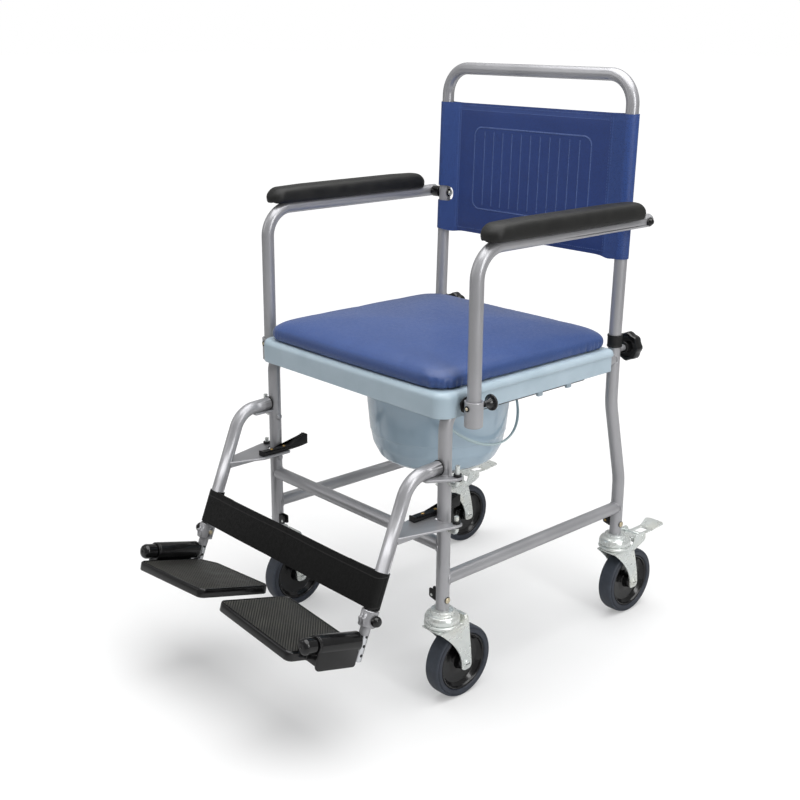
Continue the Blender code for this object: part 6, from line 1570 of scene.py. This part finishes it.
def clamp_knob(side, name):
    """Small dome knob whose screw pinches the post; height runs outwards from the post's axis."""
    place = facing((side * FRONT_X, down_y(CLAMP_Z), CLAMP_Z), (side, 0, 0))
    profile = [(0, 0.0086), (0.0029, 0.0086), (0.0029, 0.0146), (0.0078, 0.0146), (0.0088, 0.0160),
               (0.0088, 0.0200), (0.0064, 0.0245), (0, 0.0258)]
    shape = Shape().add(spun(profile, [0.0003, 0.0003, 0.0006, 0.001, 0.003, 0.004], place, 40, 5))
    piece(f"{name}_clamp_knob", f"{name}_clamp_knob", shape, [GLOSS])


def plate_place(side):
    """Origin on the post's axis, with local Y running back down the footplate's hinge."""
    z = DOWN_Z - (DOWN_Y - PLATE_AXIS_Y) / DOWN_SLOPE
    return Matrix.Translation((side * FRONT_X, PLATE_AXIS_Y, z)) @ Matrix.Rotation(-PLATE_TILT, 4, "X")


def footrest_post(side, name):
    """Chrome post with adjusting holes drawn as thin black discs, which paint the holes' shade, the
    footplate's shaft, and a black knob with a dimple on its end.
    """
    x = side * FRONT_X
    top, bottom = (np.array([x, down_y(z), z]) for z in (0.345, 0.142))
    shape = Shape().add(rod(top, bottom, POST_RADIUS, 40))
    # painted shade: the adjusting holes are black discs on the chrome, not cut through
    hole = [(0, 0), (0.0026, 0), (0.0026, 0.0005), (0, 0.0005)]
    for z in (0.152, 0.166, 0.180, 0.325):
        for way in (-1, 1):
            point = (x + way * (POST_RADIUS - 0.0004), down_y(z), z)
            shape.add(spun(hole, 0.0001, facing(point, (way, 0, 0)), 20, 2), 1)
    place = plate_place(side)
    start, end = place @ Vector((0, 0.004, 0)), place @ Vector((0, -0.099, 0))
    shape.add(rod(start, end, 0.0055, 28))
    knob = [(0, 0.097), (0.0118, 0.097), (0.0127, 0.0985), (0.0127, 0.1150), (0.0100, 0.1208),
            (0.0030, 0.1212), (0.0022, 0.1200), (0, 0.1196)]
    radii = [0.0006, 0.0012, 0.0056, 0.0050, 0.0006, 0.0006]
    shape.add(spun(knob, radii, place @ FORWARDS, 48, 5), 1)
    piece(f"{name}_footrest_post", f"{name}_post", shape, [CHROME, GLOSS])


def footplate(side, name):
    """Hinge barrel with a lipped front end, a flat outer wall, and a tread with a rim and ribbed rubber."""
    place = plate_place(side)
    front, start, end, inner_end = -0.132, -0.0965, -0.023, 0.007
    bore, full, groove = 0.0059, 0.0154, 0.0147
    barrel = [(bore, 0.0110), (0.0142, 0.0110), (full, 0.0122), (full, 0.0920), (groove, 0.0926),
              (groove, 0.0940), (full, 0.0946), (full, 0.0958), (groove, -start), (bore, -start)]
    shape = Shape().add(hoop(barrel, 0.0006, place @ FORWARDS, 56))
    upright = place @ Matrix(((0, 0, side, side * 0.012), (1, 0, 0, 0), (0, 1, 0, 0), (0, 0, 0, 1)))
    wall = rectangle(start, -0.017, -0.036, 0.0, [0.008, 0.005, 0.001, 0.001], 6)
    shape.add(slab(wall, -0.002, 0.002, 0.0011, upright))
    seat = place @ Matrix.Translation((0, 0, -PLATE_DROP)) @ Matrix.Rotation(side * PLATE_RISE, 4, "Y")
    inner, outer, cut = (x - FRONT_X for x in (PLATE_INNER_X, PLATE_OUTER_X, PLATE_CUT_X))

    def flat(corners, radii):
        return closed_bend([(side * x, y) for x, y in corners], radii, 7)

    plate = flat([(inner, front), (outer, front), (outer, start), (0.012, start), (0.012, end), (outer, end),
                  (outer, -0.011), (cut, inner_end), (inner, inner_end)],
                 [0.011, 0.011, 0.002, 0.001, 0.001, 0.002, 0.004, 0.004, 0.011])
    shape.add(slab(plate, -0.0092, 0.0050, 0.0018, seat))
    mat = flat([(inner + 0.004, front + 0.004), (outer - 0.006, front + 0.004), (outer - 0.006, -0.013),
                (cut - 0.003, 0.003), (inner + 0.004, 0.003)], [0.008, 0.008, 0.003, 0.003, 0.008])
    shape.add(slab(mat, 0.0040, 0.0056, 0.0004, seat), 1)
    rim = flat([(inner, front), (outer - 0.002, front), (outer - 0.002, -0.0115), (cut - 0.001, inner_end),
                (inner, inner_end)], [0.011, 0.011, 0.004, 0.004, 0.011])
    shape.add(frame_slab(inset(rim, 0.0004), inset(rim, 0.0034), 0.0040, 0.0060, 0.0008, seat))
    piece(f"{name}_footplate", f"{name}_footplate", shape, [GLOSS, RIBBED])


def calf_strap(side, name):
    """Half of the strap: a flat band from the middle, round the tube and sewn back on itself. Its line is
    drawn square to the tube and carried down the tube by the strap's width."""
    radius = TUBE + 0.0013
    x = FRONT_X
    sewn, layer = 0.040, radius - 0.0022
    away = math.asin(radius / math.hypot(sewn, layer))
    angle = np.linspace(math.pi / 2, -1.5 * math.pi + away + 0.70, 44)
    loop = np.column_stack([x + radius * np.cos(angle), radius * np.sin(angle)])
    band = np.linspace((0.0002, radius), (x - 0.0005, radius), 90)
    meeting = np.array([x - sewn, layer])
    tail = [np.linspace(loop[-1], meeting, 12)[1:], np.linspace(meeting, meeting - (0.024, 0.0), 8)[1:]]
    line = np.vstack([band, loop, *tail])
    forward = np.array([0.0, DOWN_DIRECTION[2], -DOWN_DIRECTION[1]])
    top = np.array([0.0, down_y(STRAP_Z), STRAP_Z])
    v = np.linspace(0.0, STRAP_WIDTH, 15)
    sag = 0.0012 * np.sin(math.pi * np.clip(line[:, 0] / x, 0, 1)) ** 2 * (line[:, 1] > 0)
    across_line = line[:, :1] * X_AXIS * side + (line[:, 1] + sag)[:, None] * forward
    points = top + across_line[:, None] + v[None, :, None] * DOWN_DIRECTION
    shape = Shape().add(thick(points, 0.0018))
    strap = piece(f"{name}_calf_strap", f"{name}_hanger", shape, [WEBBING], 60.0)


# Stage


def studio_floor():
    """Wide pale floor. It glows to the camera by what the room and the round lamp leave it short of white, so
    only the chair's shadow shows. The lamp's light on it at a distance d, for a height h and a radius r, is
    albedo power / (2 pi^2 r^2) (1 - (h^2 + d^2 - r^2) / sqrt((h^2 + r^2 + d^2)^2 - 4 r^2 d^2))."""
    mesh = bpy.data.meshes.new("floor")
    corners = [(x * FLOOR_HALF, y * FLOOR_HALF, 0) for x, y in ((-1, -1), (1, -1), (1, 1), (-1, 1))]
    mesh.from_pydata(corners, [], [(0, 1, 2, 3)])
    floor = bpy.data.objects.new("floor", mesh)
    bpy.context.scene.collection.objects.link(floor)
    finish = Finish("white floor", FLOOR_GREY, 0.9, 0.0, Specular_IOR_Level=0.0)
    x = finish.gap(finish.axis("X"), LAMP_PLACE[0])
    y = finish.gap(finish.axis("Y"), LAMP_PLACE[1])
    squares = finish.maths("ADD", finish.maths("POWER", x, 2.0), finish.maths("POWER", y, 2.0))
    high, wide = LAMP_PLACE[2]**2, LAMP_RADIUS**2
    far = finish.maths("POWER", finish.maths("ADD", squares, high + wide), 2.0)
    far = finish.maths("SQRT", finish.maths("MULTIPLY_ADD", squares, -4.0 * wide, far))
    near = finish.maths("ADD", squares, high - wide)
    seen = finish.maths("SUBTRACT", 1.0, finish.maths("DIVIDE", near, far))
    lamp_light = FLOOR_ALBEDO * LAMP_POWER / (2.0 * math.pi**2 * wide)
    lit = finish.maths("MULTIPLY_ADD", seen, lamp_light, FLOOR_ALBEDO * ROOM)
    short = finish.maths("MAXIMUM", finish.maths("SUBTRACT", FLOOR_WHITE, lit), 0.0)
    path = finish.nodes.new("ShaderNodeLightPath")
    glow = finish.maths("MULTIPLY", short, path.outputs["Is Camera Ray"])
    finish.shader.inputs["Emission Color"].default_value = (1, 1, 1, 1)
    finish.links.new(glow, finish.shader.inputs["Emission Strength"])
    mesh.materials.append(finish.material)


def studio_world():
    """White to the camera and through clear things; an evenly dim room to all other rays."""
    world = bpy.data.worlds.new("studio")
    bpy.context.scene.world = world
    world.use_nodes = True
    nodes, links = world.node_tree.nodes, world.node_tree.links
    background = nodes["Background"]
    background.inputs["Color"].default_value = (1, 1, 1, 1)
    path = nodes.new("ShaderNodeLightPath")
    seen = nodes.new("ShaderNodeMath")
    seen.operation = "MAXIMUM"
    links.new(path.outputs["Is Camera Ray"], seen.inputs[0])
    links.new(path.outputs["Is Transmission Ray"], seen.inputs[1])
    level = nodes.new("ShaderNodeMapRange")
    level.inputs["To Min"].default_value = ROOM
    level.inputs["To Max"].default_value = 1.0
    links.new(seen.outputs[0], level.inputs["Value"])
    links.new(level.outputs["Result"], background.inputs["Strength"])


def soft_box(name, place, target, width, height, power):
    """An area lamp at a place, turned to a target."""
    data = bpy.data.lights.new(name, "AREA")
    data.shape = "RECTANGLE"
    data.size, data.size_y, data.energy = width, height, power
    lamp = bpy.data.objects.new(name, data)
    lamp.location = place
    lamp.rotation_euler = (Vector(target) - Vector(place)).to_track_quat("-Z", "Y").to_euler()
    bpy.context.scene.collection.objects.link(lamp)
    return data


def camera():
    """The photograph's viewpoint."""
    data = bpy.data.cameras.new("camera")
    data.sensor_width = 36.0
    data.lens = FOCAL / PICTURE * 36
    data.shift_x, data.shift_y = (shift / PICTURE for shift in PICTURE_SHIFT)
    obj = bpy.data.objects.new("camera", data)
    turn = Matrix.Rotation(EYE_TURN, 4, "Z") @ Matrix.Rotation(math.pi / 2 - EYE_TILT, 4, "X")
    place = Matrix.Translation(Vector(EYE) + Vector(SHIFT))
    obj.matrix_world = place @ turn @ Matrix.Rotation(EYE_ROLL, 4, "Z")
    bpy.context.scene.collection.objects.link(obj)
    bpy.context.scene.camera = obj


def build():
    camera()
    cross_tube("front_cross_rail", FRONT_X, FRONT_Y, CROSS_RAIL_Z)
    cross_tube("rear_cross_tube", REAR_X, CROSS_TUBE_Y, RAIL_Z)
    for side, name in SIDES:
        side_frame(side, name)
        rear_leg(side, name)
        lower_rail(side, name)
        castor(side * FRONT_X, FRONT_Y, f"front_{name}", False)
        castor(side * REAR_X, REAR_FOOT_Y, f"rear_{name}", True)
        collar(side, name)
        handwheel(side, name)
        pivot_bolt(side, name)
        arm_tube(side, name)
        arm_saddle(side, name)
        arm_pad(side, name)
        arm_peg(side, name)
        arm_plunger(side, name)
        hanger(side, name)
        latch_lever(side, name)
        clamp_knob(side, name)
        footrest_post(side, name)
        footplate(side, name)
        calf_strap(side, name)
    back_tube()
    back_sling()
    seat_ring()
    seat_cushion()
    pan()
    pan_bail()
    studio_floor()
    studio_world()
    below = (*LAMP_PLACE[:2], 0)
    top = soft_box("top lamp", LAMP_PLACE, below, 2 * LAMP_RADIUS, 1.0, LAMP_POWER)
    top.shape = "DISK"
    for lamp, place, width, height, power in SIDE_LAMPS:
        soft_box(lamp, place, LAMP_TARGET, width, height, power)
    bpy.context.scene.view_settings.view_transform = "Standard"


build()
